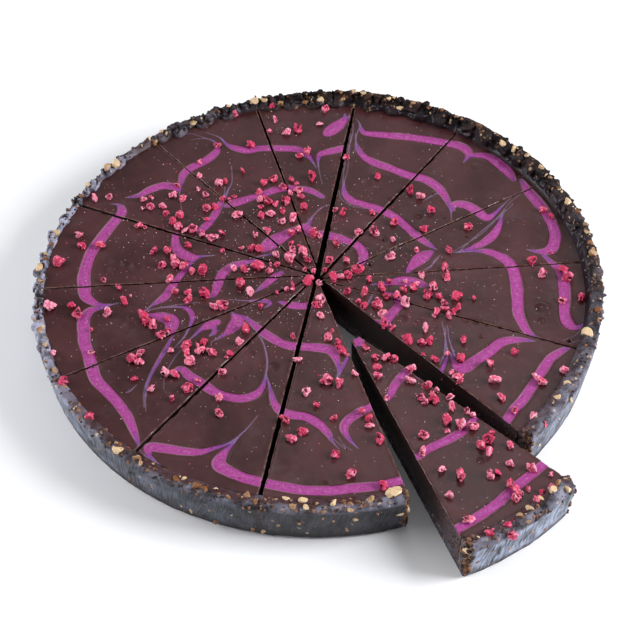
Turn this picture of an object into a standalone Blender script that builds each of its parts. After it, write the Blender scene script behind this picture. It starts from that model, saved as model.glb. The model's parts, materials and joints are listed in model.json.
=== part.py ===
"""A round chocolate tart with a nut crust, cut into fourteen slices, one of them partly drawn out.

The tart is made the way a baker makes it: a pressed crust shell and a poured filling are turned whole,
knife cuts part them into slices, and one slice is then slid out of its place and turned a little.
"""

import math

import bmesh
import bpy
from mathutils import Matrix, Vector, noise

MM = 0.001

# Driving sizes of the whole tart.
RIM_RADIUS = 140 * MM
FOOT_RADIUS = 136.5 * MM
BASE_THICKNESS = 7 * MM
BASE_CORNER = 2 * MM
WALL_THICKNESS = 6.4 * MM
FILLING_LEVEL = 24 * MM
TOUCHING_GAP = 0.3 * MM

# The inside was pressed a little off centre, so the wall is thinner at the back.
INSIDE_SHIFT = Vector((-1.5, 2.2, 0.0)) * MM

# The crust's rim: it stands highest above the filling at the back right.
RIM_LOW = 1.4 * MM
RIM_HIGH = 8.4 * MM
RIM_HIGH_ANGLE = math.radians(46)
RIM_LEAN = 0.3
RIM_LUMP_SPACING = 7 * MM
RIM_LUMP_HEIGHT = 1.6 * MM
RIM_LUMP_DEPTH = 1.1 * MM
FOOT_ROUNDING = 1.5 * MM

# Fourteen knife cuts run from near one crossing point to the rim. Each has its direction in degrees,
# how far it passes to the left of the crossing and its width there and at the rim, in mm.
CROSSING = Vector((-0.1, 5.3, 0.0)) * MM
CUTS = (
    (80.4, 0.4, 3.2, 1.3),
    (104.5, -2.2, 0.7, 1.3),
    (130.0, -1.1, 1.1, 0.5),
    (156.4, -2.3, 0.8, 1.8),
    (182.9, -3.3, 0.8, 0.9),
    (207.9, -1.9, 0.9, 0.9),
    (232.7, -1.8, 1.2, 1.6),
    (258.8, -0.4, 2.0, 2.2),
    (286.4, 0.8, 0.4, 1.5),
    (311.9, 1.8, 0.4, 1.5),
    (338.4, 0.8, 0.5, 0.9),
    (3.6, 1.0, 0.5, 0.6),
    (30.2, -1.2, 0.5, 0.6),
    (55.1, -0.7, 1.7, 0.9),
)
CUT_LENGTH = 160 * MM
CUT_BEHIND = 2 * MM
CUT_HEIGHT = 80 * MM
CHIP_REACH = 15 * MM
SHARP_ANGLE = math.radians(35)

# The slice that is drawn out, counted from the first cut, where its point goes and how far it turns.
DRAWN_SLICE = 9
DRAWN_BY = Vector((12.2, -33.2, 0.0)) * MM
DRAWN_TURN = math.radians(4.35)
POINT_LOST = 8.8 * MM

CRUST_STEPS = 196
FILLING_STEPS = 112


def clear_scene():
    for old in list(bpy.data.objects):
        bpy.data.objects.remove(old, do_unlink=True)


def new_collection(name, hidden=False):
    collection = bpy.data.collections.new(name)
    collection.hide_render = hidden
    bpy.context.scene.collection.children.link(collection)
    return collection


def new_material(name, colour, roughness):
    material = bpy.data.materials.new(name)
    material.use_nodes = True
    shader = material.node_tree.nodes["Principled BSDF"]
    shader.inputs["Base Color"].default_value = (*colour, 1.0)
    shader.inputs["Roughness"].default_value = roughness
    shader.inputs["Metallic"].default_value = 0.0
    return material


def turned(name, profile, steps, collection):
    """A solid of revolution about Z. The profile starts and ends on the axis and runs down its outer side."""
    mesh = bpy.data.meshes.new(name)
    mesh.from_pydata([(r, 0.0, z) for r, z in profile], [(i, i + 1) for i in range(len(profile) - 1)], [])
    obj = bpy.data.objects.new(name, mesh)
    collection.objects.link(obj)
    screw = obj.modifiers.new("turn", "SCREW")
    screw.axis = "Z"
    screw.steps = steps
    screw.render_steps = steps
    screw.use_merge_vertices = True
    screw.merge_threshold = 0.01 * MM
    screw.use_smooth_shade = False
    return as_mesh(obj, name, collection)


def as_mesh(obj, name, collection):
    """The object with its modifiers applied, as a new object, and the old one removed."""
    bpy.context.view_layer.update()
    evaluated = obj.evaluated_get(bpy.context.evaluated_depsgraph_get())
    mesh = bpy.data.meshes.new_from_object(evaluated)
    mesh.name = name
    bpy.data.objects.remove(obj, do_unlink=True)
    made = bpy.data.objects.new(name, mesh)
    collection.objects.link(made)
    return made


def rim_lift(angle):
    """How far the crust's rim stands above the filling at an angle round the tart."""
    swell = 0.5 + 0.5 * math.cos(angle - RIM_HIGH_ANGLE)
    return RIM_LOW + (RIM_HIGH - RIM_LOW) * swell**2


def lump(x, y, layer):
    """A smooth bumpy field from -1 to 1, for the pressed crumbs of the rim."""
    spot = Vector((x, y, 0.0)) / RIM_LUMP_SPACING
    return noise.noise(Vector((spot.x, spot.y, layer)))


def wall_radius(height):
    """The outer radius of the wall, which leans out from the foot to the rim."""
    return FOOT_RADIUS + (RIM_RADIUS - FOOT_RADIUS) * height / FILLING_LEVEL


def inner_radius(height):
    """The radius of the crust's inside, which follows its outside."""
    return wall_radius(height) - WALL_THICKNESS


def crust_shell(collection):
    """The whole crust: a flat base and a leaning wall with an uneven rim."""
    corner = BASE_THICKNESS + BASE_CORNER
    rim = FILLING_LEVEL + RIM_LOW
    profile = [
        (0.0, BASE_THICKNESS),
        (inner_radius(corner) - BASE_CORNER, BASE_THICKNESS),
        (inner_radius(corner), corner),
        (inner_radius(FILLING_LEVEL), FILLING_LEVEL),
        (inner_radius(FILLING_LEVEL) + 1.5 * MM, rim - 0.6 * MM),
        (RIM_RADIUS - 0.5 * WALL_THICKNESS, rim),
        (RIM_RADIUS - 1 * MM, rim - 0.4 * MM),
        (RIM_RADIUS, FILLING_LEVEL - 1 * MM),
        (wall_radius(FOOT_ROUNDING), FOOT_ROUNDING),
        (FOOT_RADIUS - FOOT_ROUNDING, 0.0),
        (0.0, 0.0),
    ]
    shell = turned("crust_whole", profile, CRUST_STEPS, collection)
    for vertex in shell.data.vertices:
        place = vertex.co
        radius = math.hypot(place.x, place.y)
        middle_of_wall = wall_radius(place.z) - 0.6 * WALL_THICKNESS
        inside = place.z > BASE_THICKNESS - TOUCHING_GAP and radius < middle_of_wall
        if place.z > FILLING_LEVEL + TOUCHING_GAP:
            angle = math.atan2(place.y, place.x)
            raised = rim_lift(angle) - RIM_LOW
            rough = RIM_LEAN * raised + RIM_LUMP_DEPTH * lump(place.x, place.y, 3.0)
            place.z += raised + RIM_LUMP_HEIGHT * lump(place.x, place.y, 0.0)
            place.x *= (radius + rough) / radius
            place.y *= (radius + rough) / radius
        if inside:
            place += INSIDE_SHIFT
    return shell


def filling_body(collection):
    """The whole filling: it fills the crust to its level."""
    gap = TOUCHING_GAP
    corner = BASE_THICKNESS + BASE_CORNER
    profile = [
        (0.0, FILLING_LEVEL),
        (inner_radius(FILLING_LEVEL) - gap, FILLING_LEVEL),
        (inner_radius(corner) - gap, corner + gap),
        (inner_radius(corner) - BASE_CORNER - gap, BASE_THICKNESS + gap),
        (0.0, BASE_THICKNESS + gap),
    ]
    filling = turned("filling_whole", profile, FILLING_STEPS, collection)
    filling.data.transform(Matrix.Translation(INSIDE_SHIFT))
    return filling


def upright_blade(name, place, direction, near, far, widths, collection):
    """An upright box that runs from near to far along a direction, with its width at either end."""
    bpy.ops.mesh.primitive_cube_add(size=1.0)
    blade = bpy.context.active_object
    blade.name = name
    for old in list(blade.users_collection):
        old.objects.unlink(blade)
    collection.objects.link(blade)
    for corner in blade.data.vertices:
        at_far = corner.co.x > 0
        corner.co.x = far if at_far else near
        corner.co.y *= widths[1] if at_far else widths[0]
        corner.co.z *= CUT_HEIGHT
    blade.location = place
    blade.rotation_euler.z = direction
    blade.hide_render = True
    blade.display_type = "WIRE"
    return blade


def knife_cut(index, collection):
    """The blade for one cut, from just behind the crossing out past the rim."""
    degrees, aside, near_width, rim_width = CUTS[index]
    direction = math.radians(degrees)
    left = Vector((-math.sin(direction), math.cos(direction), 0.0))
    place = CROSSING + left * aside * MM
    end_width = near_width + (rim_width - near_width) * CUT_LENGTH / RIM_RADIUS
    widths = (near_width * MM, end_width * MM)
    name = f"knife_{index + 1:02d}"
    return upright_blade(name, place, direction, -CUT_BEHIND, CUT_LENGTH, widths, collection)


def point_knife(collection):
    """The blade that takes off the drawn slice's lost point."""
    start, end = CUTS[DRAWN_SLICE - 1][0], CUTS[DRAWN_SLICE][0]
    direction = math.radians((start + end) / 2)
    widths = (CHIP_REACH, CHIP_REACH)
    return upright_blade("knife_point", CROSSING, direction, -CHIP_REACH, POINT_LOST, widths, collection)


def cut_through(whole, blades, collection):
    """The whole with every blade's width taken out of it."""
    for blade in blades:
        cut = whole.modifiers.new("cut", "BOOLEAN")
        cut.operation = "DIFFERENCE"
        cut.solver = "EXACT"
        cut.object = blade
        whole = as_mesh(whole, whole.name, collection)
    return whole


def slice_number(place):
    """Which slice a point lies in, from 1, where slice n follows the n-th cut round the tart."""
    direction = math.degrees(math.atan2(place.y - CROSSING.y, place.x - CROSSING.x))
    first = CUTS[0][0]
    turned_by = (direction - first) % 360
    starts = [(cut[0] - first) % 360 for cut in CUTS]
    return sum(1 for start in starts if start <= turned_by)


def joined_to(start):
    """Every vertex of the body that a vertex belongs to."""
    body = {start}
    ahead = [start]
    while ahead:
        for edge in ahead.pop().link_edges:
            for other in edge.verts:
                if other not in body:
                    body.add(other)
                    ahead.append(other)
    return body


def loose_slices(whole, name, material, collection):
    """Splits a cut mesh into its separate bodies, one object for each slice, without the centre's chips."""
    bm = bmesh.new()
    bm.from_mesh(whole.data)
    seen = set()
    for start in bm.verts:
        if start in seen:
            continue
        body = joined_to(start)
        seen |= body
        if max((vertex.co - CROSSING).xy.length for vertex in body) < CHIP_REACH:
            continue
        part = bm.copy()
        part.verts.ensure_lookup_table()
        kept = {vertex.index for vertex in body}
        bmesh.ops.delete(part, geom=[v for v in part.verts if v.index not in kept], context="VERTS")
        middle = sum((v.co for v in part.verts), Vector()) / len(part.verts)
        node = f"{name}_{slice_number(middle):02d}"
        mesh = bpy.data.meshes.new(node)
        part.to_mesh(mesh)
        part.free()
        mesh.materials.append(material)
        collection.objects.link(bpy.data.objects.new(node, mesh))
    bm.free()
    bpy.data.objects.remove(whole, do_unlink=True)


def draw_out(obj):
    """Slides a slice out of the tart and turns it about its point."""
    about = Matrix.Translation(CROSSING) @ Matrix.Rotation(DRAWN_TURN, 4, "Z") @ Matrix.Translation(-CROSSING)
    obj.matrix_world = Matrix.Translation(DRAWN_BY) @ about


def stand_on_origin(collection):
    """Parents every slice to an empty and moves it, so that the base's box centre is the origin."""
    bpy.context.view_layer.update()
    corners = [obj.matrix_world @ v.co for obj in collection.objects for v in obj.data.vertices]
    middle = [(min(c[axis] for c in corners) + max(c[axis] for c in corners)) / 2 for axis in (0, 1)]
    holder = bpy.data.objects.new("tart", None)
    bpy.context.scene.collection.objects.link(holder)
    for obj in collection.objects:
        obj.parent = holder
    holder.location = (-middle[0], -middle[1], -min(c.z for c in corners))


def main():
    clear_scene()
    tart = new_collection("chocolate_tart")
    workshop = new_collection("knives", hidden=True)
    crust_material = new_material("cocoa_nut_crust", (0.030, 0.021, 0.020), 0.7)
    filling_material = new_material("chocolate_ganache", (0.048, 0.024, 0.021), 0.35)
    blades = [knife_cut(index, workshop) for index in range(len(CUTS))]
    crust = cut_through(crust_shell(workshop), blades, workshop)
    filling = cut_through(filling_body(workshop), blades, workshop)
    loose_slices(crust, "crust", crust_material, tart)
    loose_slices(filling, "filling", filling_material, tart)
    blunt = point_knife(workshop)
    for obj in list(tart.objects):
        if obj.name.endswith(f"_{DRAWN_SLICE:02d}"):
            draw_out(cut_through(obj, [blunt], tart))
    for obj in tart.objects:
        obj.data.shade_smooth()
        obj.data.set_sharp_from_angle(angle=SHARP_ANGLE)
    stand_on_origin(tart)


main()
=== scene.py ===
"""The looks of a round chocolate tart with a nut crust, a dragged swirl and dried berry crumbs.

Laid out as an add-on: each operator makes one piece or one group of like pieces, and main() calls them in
order. All shaping is done in millimetres from the tart's centre, and is turned to metres in the row frame at
the end.
"""

import json
import math
from functools import partial

import bmesh
import bpy
import numpy as np
from bpy.props import FloatProperty, FloatVectorProperty, IntProperty, PointerProperty
from mathutils import Matrix, Vector
from mathutils.bvhtree import BVHTree
from numpy.linalg import norm

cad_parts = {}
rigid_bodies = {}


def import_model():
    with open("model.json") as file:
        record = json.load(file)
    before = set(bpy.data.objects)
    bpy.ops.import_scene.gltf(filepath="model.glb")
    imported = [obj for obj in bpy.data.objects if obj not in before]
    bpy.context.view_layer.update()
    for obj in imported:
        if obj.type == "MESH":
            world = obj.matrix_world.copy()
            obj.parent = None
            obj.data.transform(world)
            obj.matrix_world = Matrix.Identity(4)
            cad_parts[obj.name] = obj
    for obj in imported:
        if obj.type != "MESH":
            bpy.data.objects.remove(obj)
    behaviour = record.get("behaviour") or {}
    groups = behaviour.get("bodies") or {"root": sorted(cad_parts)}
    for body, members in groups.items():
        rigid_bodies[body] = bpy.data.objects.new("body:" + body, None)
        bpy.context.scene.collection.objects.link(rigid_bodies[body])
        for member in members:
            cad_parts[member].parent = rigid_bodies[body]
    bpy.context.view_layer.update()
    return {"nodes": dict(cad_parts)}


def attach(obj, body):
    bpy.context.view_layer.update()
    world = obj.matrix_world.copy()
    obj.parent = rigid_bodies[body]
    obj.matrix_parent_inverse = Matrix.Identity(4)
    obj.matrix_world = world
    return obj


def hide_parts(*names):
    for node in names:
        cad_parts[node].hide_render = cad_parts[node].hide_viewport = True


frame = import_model()

bl_info = {
    "name": "Chocolate Tart",
    "version": (1, 0, 0),
    "blender": (4, 5, 0),
    "location": "3D View > Sidebar > Tart",
    "description": "Builds the looks of a sliced chocolate tart around its CAD model",
    "category": "Object",
}

MM = 0.001
NUMBERS = range(1, 15)

# Where the tart's centre stands in the row frame, and how the drawn slice was slid out and turned, in mm.
CENTRE = np.array((-0.261, 11.145))
CROSSING = np.array((-0.1, 5.3))
DRAWN_SLICE = 9
DRAWN_BY = np.array((12.2, -33.2))
DRAWN_TURN = math.radians(4.35)
FIT_TOLERANCE = 0.25

# The shell, in mm: its level, the inside's shift off centre and the wall's lean.
LEVEL = 24.0
INSIDE_SHIFT = np.array((-1.5, 2.2))
FILLING_RADIUS = 133.3
FOOT_RADIUS = 136.5
RIM_RADIUS = 140.0
BASE_TOP = 7.0

# Things are found on the tart by dropping a point on it from this high, in mm.
UP = Vector((0, 0, 1))
DROPPED_FROM = 60.0

# The swirl, line by line: x and y in mm from the centre and the width of the line there.
SWIRL = (
    ((23.5, 122.5, 0.3), (24.5, 117.5, 1.2), (27, 113, 3.2), (35.5, 111.5, 4.5), (47, 110, 4.6),
     (58.5, 107.5, 5), (69, 104.5, 5), (77, 101.5, 5), (80.5, 97.5, 4.6), (80.5, 94, 2.5),
     (77.5, 88.5, 0.3)),
    ((81, 93.5, 1), (86, 94.5, 3.5), (91.5, 93, 4.8), (96.5, 87.5, 5.8), (100.5, 81.5, 5.2),
     (103, 75.5, 2)),
    ((107, 75, 1.5), (110, 66.5, 4.8), (114, 58.5, 5.5), (118, 49.5, 5), (120.5, 39, 5.3),
     (120.5, 31, 5.5), (117.5, 23.5, 5.5), (111.5, 22.5, 2.2), (105.5, 24, 0.4)),
    ((113, 21, 1.2), (117, 15, 2.5), (121, 9.5, 4.8), (122, 1.5, 5.3), (121.5, -10, 5.3),
     (120.5, -19.5, 5), (121.5, -26.5, 5.5), (125, -29.5, 3), (130, -26.5, 0.4)),
    ((21.5, 112.5, 0.4), (22, 104.5, 1), (24.5, 96.5, 3), (30, 90.5, 4.5), (39, 85.5, 4.5),
     (49.5, 79.5, 5), (56.5, 77, 5), (63, 71, 4.8), (67, 63, 3.2), (69, 54, 1), (69, 45.5, 0.3)),
    ((69.5, 52.5, 1), (71.5, 57.5, 3.5), (77, 57, 5), (82.5, 52.5, 5.2), (87, 47.5, 4.3), (91.5, 50.5, 2),
     (97.5, 58, 0.5), (103.5, 65, 0.2)),
    ((19, 112.5, 0.3), (17, 86, 0.3), (15, 75.5, 0.6), (15, 67.5, 2.5), (18.5, 61.5, 4), (25.5, 58, 4),
     (32.5, 54.5, 4.5), (40.5, 48.5, 4.5), (46, 41.5, 4.3), (51.5, 34.5, 4), (57, 28.5, 2.3),
     (60.5, 25, 0.5)),
    ((69, 22.5, 0.4), (75.5, 24.5, 1.5), (83.5, 28.5, 3.8), (89.5, 34.5, 4.5), (93, 41.5, 3),
     (95.5, 49.5, 0.6), (101, 56.5, 0.2)),
    ((70, 22.5, 0.4), (80.5, 23.5, 1.5), (87, 22.5, 3.8), (93, 18.5, 5.2), (97, 13, 5.6), (98.5, 3.5, 5.6),
     (98.5, -9, 5.6), (98, -18.5, 5), (99.5, -26.5, 4.3), (102, -32.5, 3), (105.5, -35.5, 1),
     (110.5, -38, 0.4)),
    ((44.5, 8.5, 0.8), (47.5, 13.5, 4), (52.5, 19.5, 7), (57, 23, 3), (59, 23.5, 0.5)),
    ((26.5, 1, 0.6), (35, 2, 3), (42.5, 3.5, 6), (48.5, 2, 6), (54.5, 0, 1.5)),
    ((-11, 40.5, 3), (-6, 42, 5.5), (-2, 37.5, 4.5), (3.5, 37, 4.8), (9.5, 35, 5), (14.5, 32.5, 4.5),
     (20.5, 29, 4.5), (23.5, 23, 4.8), (23, 18, 4), (20, 12.5, 1.5)),
    ((-4.5, 43.5, 2), (-1.5, 50.5, 0.8), (3, 56.5, 0.6), (7, 58.5, 0.3)),
    ((-58.5, 115.5, 0.2), (-51, 111.5, 0.7), (-46.5, 105.5, 1.6), (-41.5, 102.5, 4), (-35.5, 101, 4.6),
     (-29, 102.5, 4.3), (-17.5, 102, 4.3), (-9.5, 101, 4.2), (-4.5, 97, 3), (-1.5, 91.5, 1.2),
     (0.5, 86, 0.3)),
    ((3.5, 74, 0.2), (2, 83.5, 0.4), (1.5, 90.5, 1), (2.5, 96.5, 3), (7, 98.5, 4.2), (14.5, 101, 4.2)),
    ((7, 113.5, 5.5), (10.5, 117.5, 7.5), (14.5, 122, 5), (18, 126.5, 1)),
    ((-66, 110, 0.2), (-58.5, 110.5, 0.5), (-54, 108.5, 0.8), (-51.5, 104.5, 1.8), (-52.5, 99.5, 3.8),
     (-57.5, 93.5, 4.6), (-63, 89.5, 4.6), (-67, 86, 4.2), (-69.5, 81.5, 3.5), (-70, 75.5, 1.5),
     (-70.5, 67.5, 0.5), (-69, 56.5, 0.2)),
    ((-98.5, 66, 0.4), (-91.5, 67.5, 2.5), (-86, 71.5, 4.2), (-79.5, 74.5, 4.6), (-74, 73.5, 4),
     (-70.5, 70.5, 1.5)),
    ((-106, 61.5, 0.3), (-101.5, 60.5, 1.5), (-99.5, 55.5, 4.5), (-101.5, 51, 4.8), (-105, 44.5, 5),
     (-109, 36.5, 5.4), (-113, 27.5, 5.4), (-115, 18.5, 5.5), (-116, 9.5, 5.8), (-115.5, 4.5, 6),
     (-114.5, -3, 5.5), (-111, -7.5, 4), (-106, -10, 1.8), (-98, -9.5, 0.3)),
    ((-46.5, 58.5, 1.5), (-41.5, 61, 5.2), (-34.5, 64, 4.4), (-26.5, 67.5, 4), (-18.5, 71, 4.4),
     (-9.5, 71, 3.8), (-2.5, 69, 3.4), (3.5, 64.5, 2)),
    ((-44, 89, 0.2), (-43.5, 77, 0.5), (-45.5, 70, 0.8), (-47.5, 62.5, 1.5)),
    ((-49, 61, 2.8), (-51.5, 53, 3.5), (-55, 46, 4), (-59, 40.5, 4)),
    ((-71.5, 38.5, 3), (-71, 31, 4.2), (-68.5, 25.5, 5.5), (-63, 22, 5), (-58.5, 22.5, 1.5),
     (-50.5, 23, 0.3)),
    ((-58.5, 22, 0.5), (-62.5, 18.5, 1.5), (-66, 13, 2.8), (-69.5, 6.5, 3.4), (-72.5, 0.5, 4),
     (-75.5, -5.5, 4), (-81, -10.5, 1.2), (-86, -15.5, 0.3)),
    ((-29, 19.5, 1), (-35.5, 18, 2.8), (-42.5, 15, 4.2), (-47, 10, 4.6), (-49, 3.5, 4.6), (-50.5, -3, 3.5),
     (-53, -6, 1)),
    ((-17.5, 10.5, 2), (-21, 7.5, 4), (-25.5, 2.5, 3), (-30.5, -2.5, 0.6)),
    ((-26.5, 27, 4), (-23, 31, 8), (-18, 35.5, 7), (-11, 40.5, 4)),
    ((-31, 21.5, 0.5), (-23, 23.5, 1.2), (-19.5, 26, 0.5)),
    ((-97.5, -8.5, 0.3), (-106, -12, 1.5), (-111.5, -14, 4), (-114, -20.5, 5.5), (-113.5, -27.5, 5.5),
     (-112.5, -35.5, 5.5), (-110, -43.5, 5.5), (-106, -57.5, 5.5), (-101, -64.5, 5.5), (-95, -72.5, 5),
     (-89.5, -81.5, 4.5), (-86, -90.5, 3.2), (-83, -99.5, 0.8)),
    ((-81.5, -17, 2), (-75.5, -18.5, 5.5), (-71, -21.5, 7), (-71, -27, 4.5), (-70, -31, 1)),
    ((-86, -15, 0.3), (-77, -12.5, 0.5), (-67.5, -12, 1), (-63, -14, 2.6), (-61, -19, 2.4),
     (-62, -24.5, 1.2), (-65, -32.5, 0.7), (-71, -41.5, 0.4)),
    ((-49, -22.5, 3.5), (-53, -24.5, 4.5), (-56.5, -27, 2), (-61, -32.5, 0.8), (-67.5, -39, 0.3)),
    ((-50.5, -24.5, 2), (-50, -29, 2), (-52.5, -31.5, 0.6)),
    ((-41, -17.5, 2), (-39, -21.5, 6.3), (-41.5, -26.5, 5.5), (-45.5, -31, 1.8), (-51.5, -35.5, 0.3)),
    ((-45.5, -13.5, 0.3), (-40.5, -17, 0.7), (-35, -20, 1.8), (-30, -25.5, 3.2), (-25.5, -30.5, 4.2),
     (-19.5, -35.5, 4.6), (-14, -38.5, 4.6), (-7, -39.5, 4.6), (1, -40.5, 5), (6.5, -42.5, 5),
     (9, -49, 2.6), (9.5, -55, 1), (8.5, -61, 0.5)),
    ((14, -47, 1.2), (11.5, -53, 1.5), (9.5, -59.5, 0.3)),
    ((-70.5, -32.5, 1.2), (-74, -41.5, 1.6), (-78, -51.5, 1.3), (-81, -61, 1.2), (-81.5, -70, 0.6),
     (-81, -78.5, 0.2)),
    ((-43.5, -7.5, 0.3), (-34.5, -8.5, 0.7), (-26.5, -8.5, 2), (-23, -10.5, 1.6), (-26, -13.5, 0.5)),
    ((-18.5, -9.5, 1.2), (-14, -11.5, 4), (-7, -12.5, 4.2), (-0.5, -11.5, 4), (1, -9, 3.4), (5, -6.5, 2)),
    ((-71, -55.5, 0.5), (-65.5, -52.5, 2.8), (-61, -57.5, 4.6), (-55, -62, 4.6), (-49.5, -67, 4.6),
     (-42.5, -70.5, 4.6), (-35.5, -71.5, 4.5), (-30, -69.5, 4), (-26.5, -64.5, 2.4), (-25, -57.5, 0.9),
     (-24.5, -47.5, 0.5), (-26, -38, 0.3), (-30, -29, 0.2)),
    ((-24.5, -57.5, 0.4), (-22.5, -67.5, 1.5), (-21, -74.5, 3), (-18, -79.5, 4.2), (-13, -82, 4.6),
     (-6, -83.5, 4.6), (-0.5, -87.5, 4.6), (4, -93.5, 2.8), (6, -98.5, 1), (9, -103, 0.3)),
    ((25, -77.5, 3.6), (18.5, -81.5, 4.4), (13.5, -86, 4.2), (11.5, -91, 3.4), (14, -97.5, 1.6),
     (18, -103, 0.4)),
    ((-74, -111, 0.3), (-78, -105.5, 1.8), (-78, -100.5, 4.5), (-70, -101.5, 4.8), (-63, -103, 4.2),
     (-55, -103.5, 3.4), (-48.5, -101.5, 2), (-41.5, -98.5, 1), (-34.5, -91.5, 0.6), (-28.5, -82.5, 0.3)),
    ((-37, -95, 0.4), (-41, -100.5, 1.5), (-44.5, -105.5, 4), (-46, -111, 6), (-41.5, -115, 5.4),
     (-34.5, -119, 5.2), (-27.5, -121.5, 5), (-18.5, -124, 5), (-7, -126.5, 5), (4.5, -127, 5),
     (14, -126, 5), (26.5, -124.5, 4.6), (38, -121.5, 4.4)),
    ((5.5, -1.5, 2), (7, -4, 4.5), (8.5, -6.5, 1)),
    ((17, -42, 1.5), (19, -37.5, 3.5), (20.5, -34, 4), (24.5, -28.5, 4), (28.5, -24.5, 4), (33, -27, 1)),
    ((26, -77.5, 3.6), (33.5, -72.5, 4.2), (41, -69, 4.2), (48, -65, 4.2), (53, -60.5, 3.6),
     (56.5, -56, 2.5)),
    ((39.5, -119.5, 4), (49, -114, 4.6), (58.5, -107.5, 4.6), (67, -100, 4.6), (74.5, -94, 4.4),
     (83.5, -87, 4.2)),
    ((33.5, -30, 1.5), (33, -24.5, 4.5), (37, -17.5, 4.6), (40.5, -11.5, 4.4), (38, -7, 4), (34, -4.5, 1)),
    ((38.5, -7, 4), (42.5, -9, 2.5), (44.5, -10.5, 0.8)),
    ((63.5, -45, 0.6), (65, -51.5, 3), (69, -54.5, 6), (74.5, -50.5, 5.5), (81.5, -45, 5.5),
     (88.5, -38.5, 5), (96.5, -37, 3), (104.5, -38, 0.6)),
    ((58.5, -57, 1.5), (60.5, -51, 1.8), (62, -45, 0.5), (61.5, -34.5, 0.6), (60.5, -24.5, 0.3)),
    ((87, -88, 4), (90.5, -82, 4.6), (96.5, -74, 4.6), (101, -66.5, 4.6), (105.5, -58.5, 4.6),
     (111, -49.5, 4.4), (117, -44.5, 3), (121, -42.5, 0.8)),
)
# Fine pale lines where the skewer only scratched the top: x, y, width in mm.
WISPS = (
    ((22.5, 124, 0.3), (24.5, 119, 0.6), (22.5, 113, 0.5), (21.5, 105, 0.5), (21, 98, 0.3)),
    ((20.5, 121, 0.3), (20, 112, 0.5), (17.5, 100, 0.5), (15.5, 90, 0.5), (14.5, 80, 0.4), (13.5, 66, 0.3)),
    ((18.5, 129, 0.3), (19, 121, 0.5), (17.8, 112, 0.6), (16.2, 101, 0.5)),
    ((16.5, 128.5, 0.8), (15.5, 124.5, 1.6), (14, 122, 1)),
    ((12, 69, 0.2), (13, 63, 0.4), (17, 58.5, 0.4), (22, 56, 0.3), (28, 55, 0.2)),
    ((71, 22.5, 0.3), (78, 31, 0.4), (86, 40, 0.5), (93, 48, 0.4), (99, 57, 0.3), (106, 65, 0.2)),
    ((67, 22, 0.2), (76, 29, 0.4), (84, 36, 0.4), (92, 46, 0.3), (97, 53, 0.2)),
    ((61, 19, 0.4), (58, 15, 0.6), (55, 12, 0.5), (52, 10.5, 0.3)),
    ((62, 21, 0.3), (59, 17.5, 0.5), (57, 13, 0.5), (54, 11, 0.3)),
    ((55, 60, 0.3), (61, 65, 0.7), (64, 66, 0.4)),
    ((-73, -66, 0.2), (-73, -57, 0.4), (-69, -46, 0.5), (-63, -36, 0.4), (-58, -28, 0.3)),
    ((-82, -76, 0.2), (-82.5, -66, 0.4), (-80, -55, 0.3)),
    ((-86, -62, 0.3), (-89, -66, 0.7), (-91, -67, 0.3)),
    ((-84, -14, 0.2), (-74, -11.5, 0.4), (-66, -10, 0.4), (-58, -9, 0.2)),
    ((-30, -28, 0.3), (-26.5, -36, 0.6), (-24.5, -46, 0.8), (-24.5, -54, 0.5), (-25, -60, 0.3)),
    ((-79, -103, 0.3), (-75.5, -108, 0.6), (-72.5, -111.5, 0.4)),
    ((-84, -100, 0.3), (-80, -105.5, 0.5), (-75, -111, 0.3)),
    ((28, -4, 0.3), (26, -9, 0.9), (24.5, -13, 0.4)),
    ((6, -96, 0.2), (9, -100, 0.4), (12, -103, 0.3)),
    ((9, -96, 0.2), (11.5, -101, 0.4), (15, -104, 0.2)),
    ((118, -38, 0.2), (125, -34, 0.4), (129, -27, 0.3)),
    ((121, -40, 0.2), (127, -37, 0.4), (131, -31, 0.2)),
    ((62, -28, 0.3), (61.5, -36, 0.7), (60.5, -45, 0.8), (58, -52, 0.4)),
    ((63, -27, 0.2), (63.5, -37, 0.6), (65.5, -47, 0.9)),
    ((-47, 73, 0.2), (-47.5, 66, 0.5), (-49, 62, 0.4)),
    ((-73, 113, 0.2), (-66, 114.5, 0.4), (-58, 111, 0.4)),
)

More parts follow.
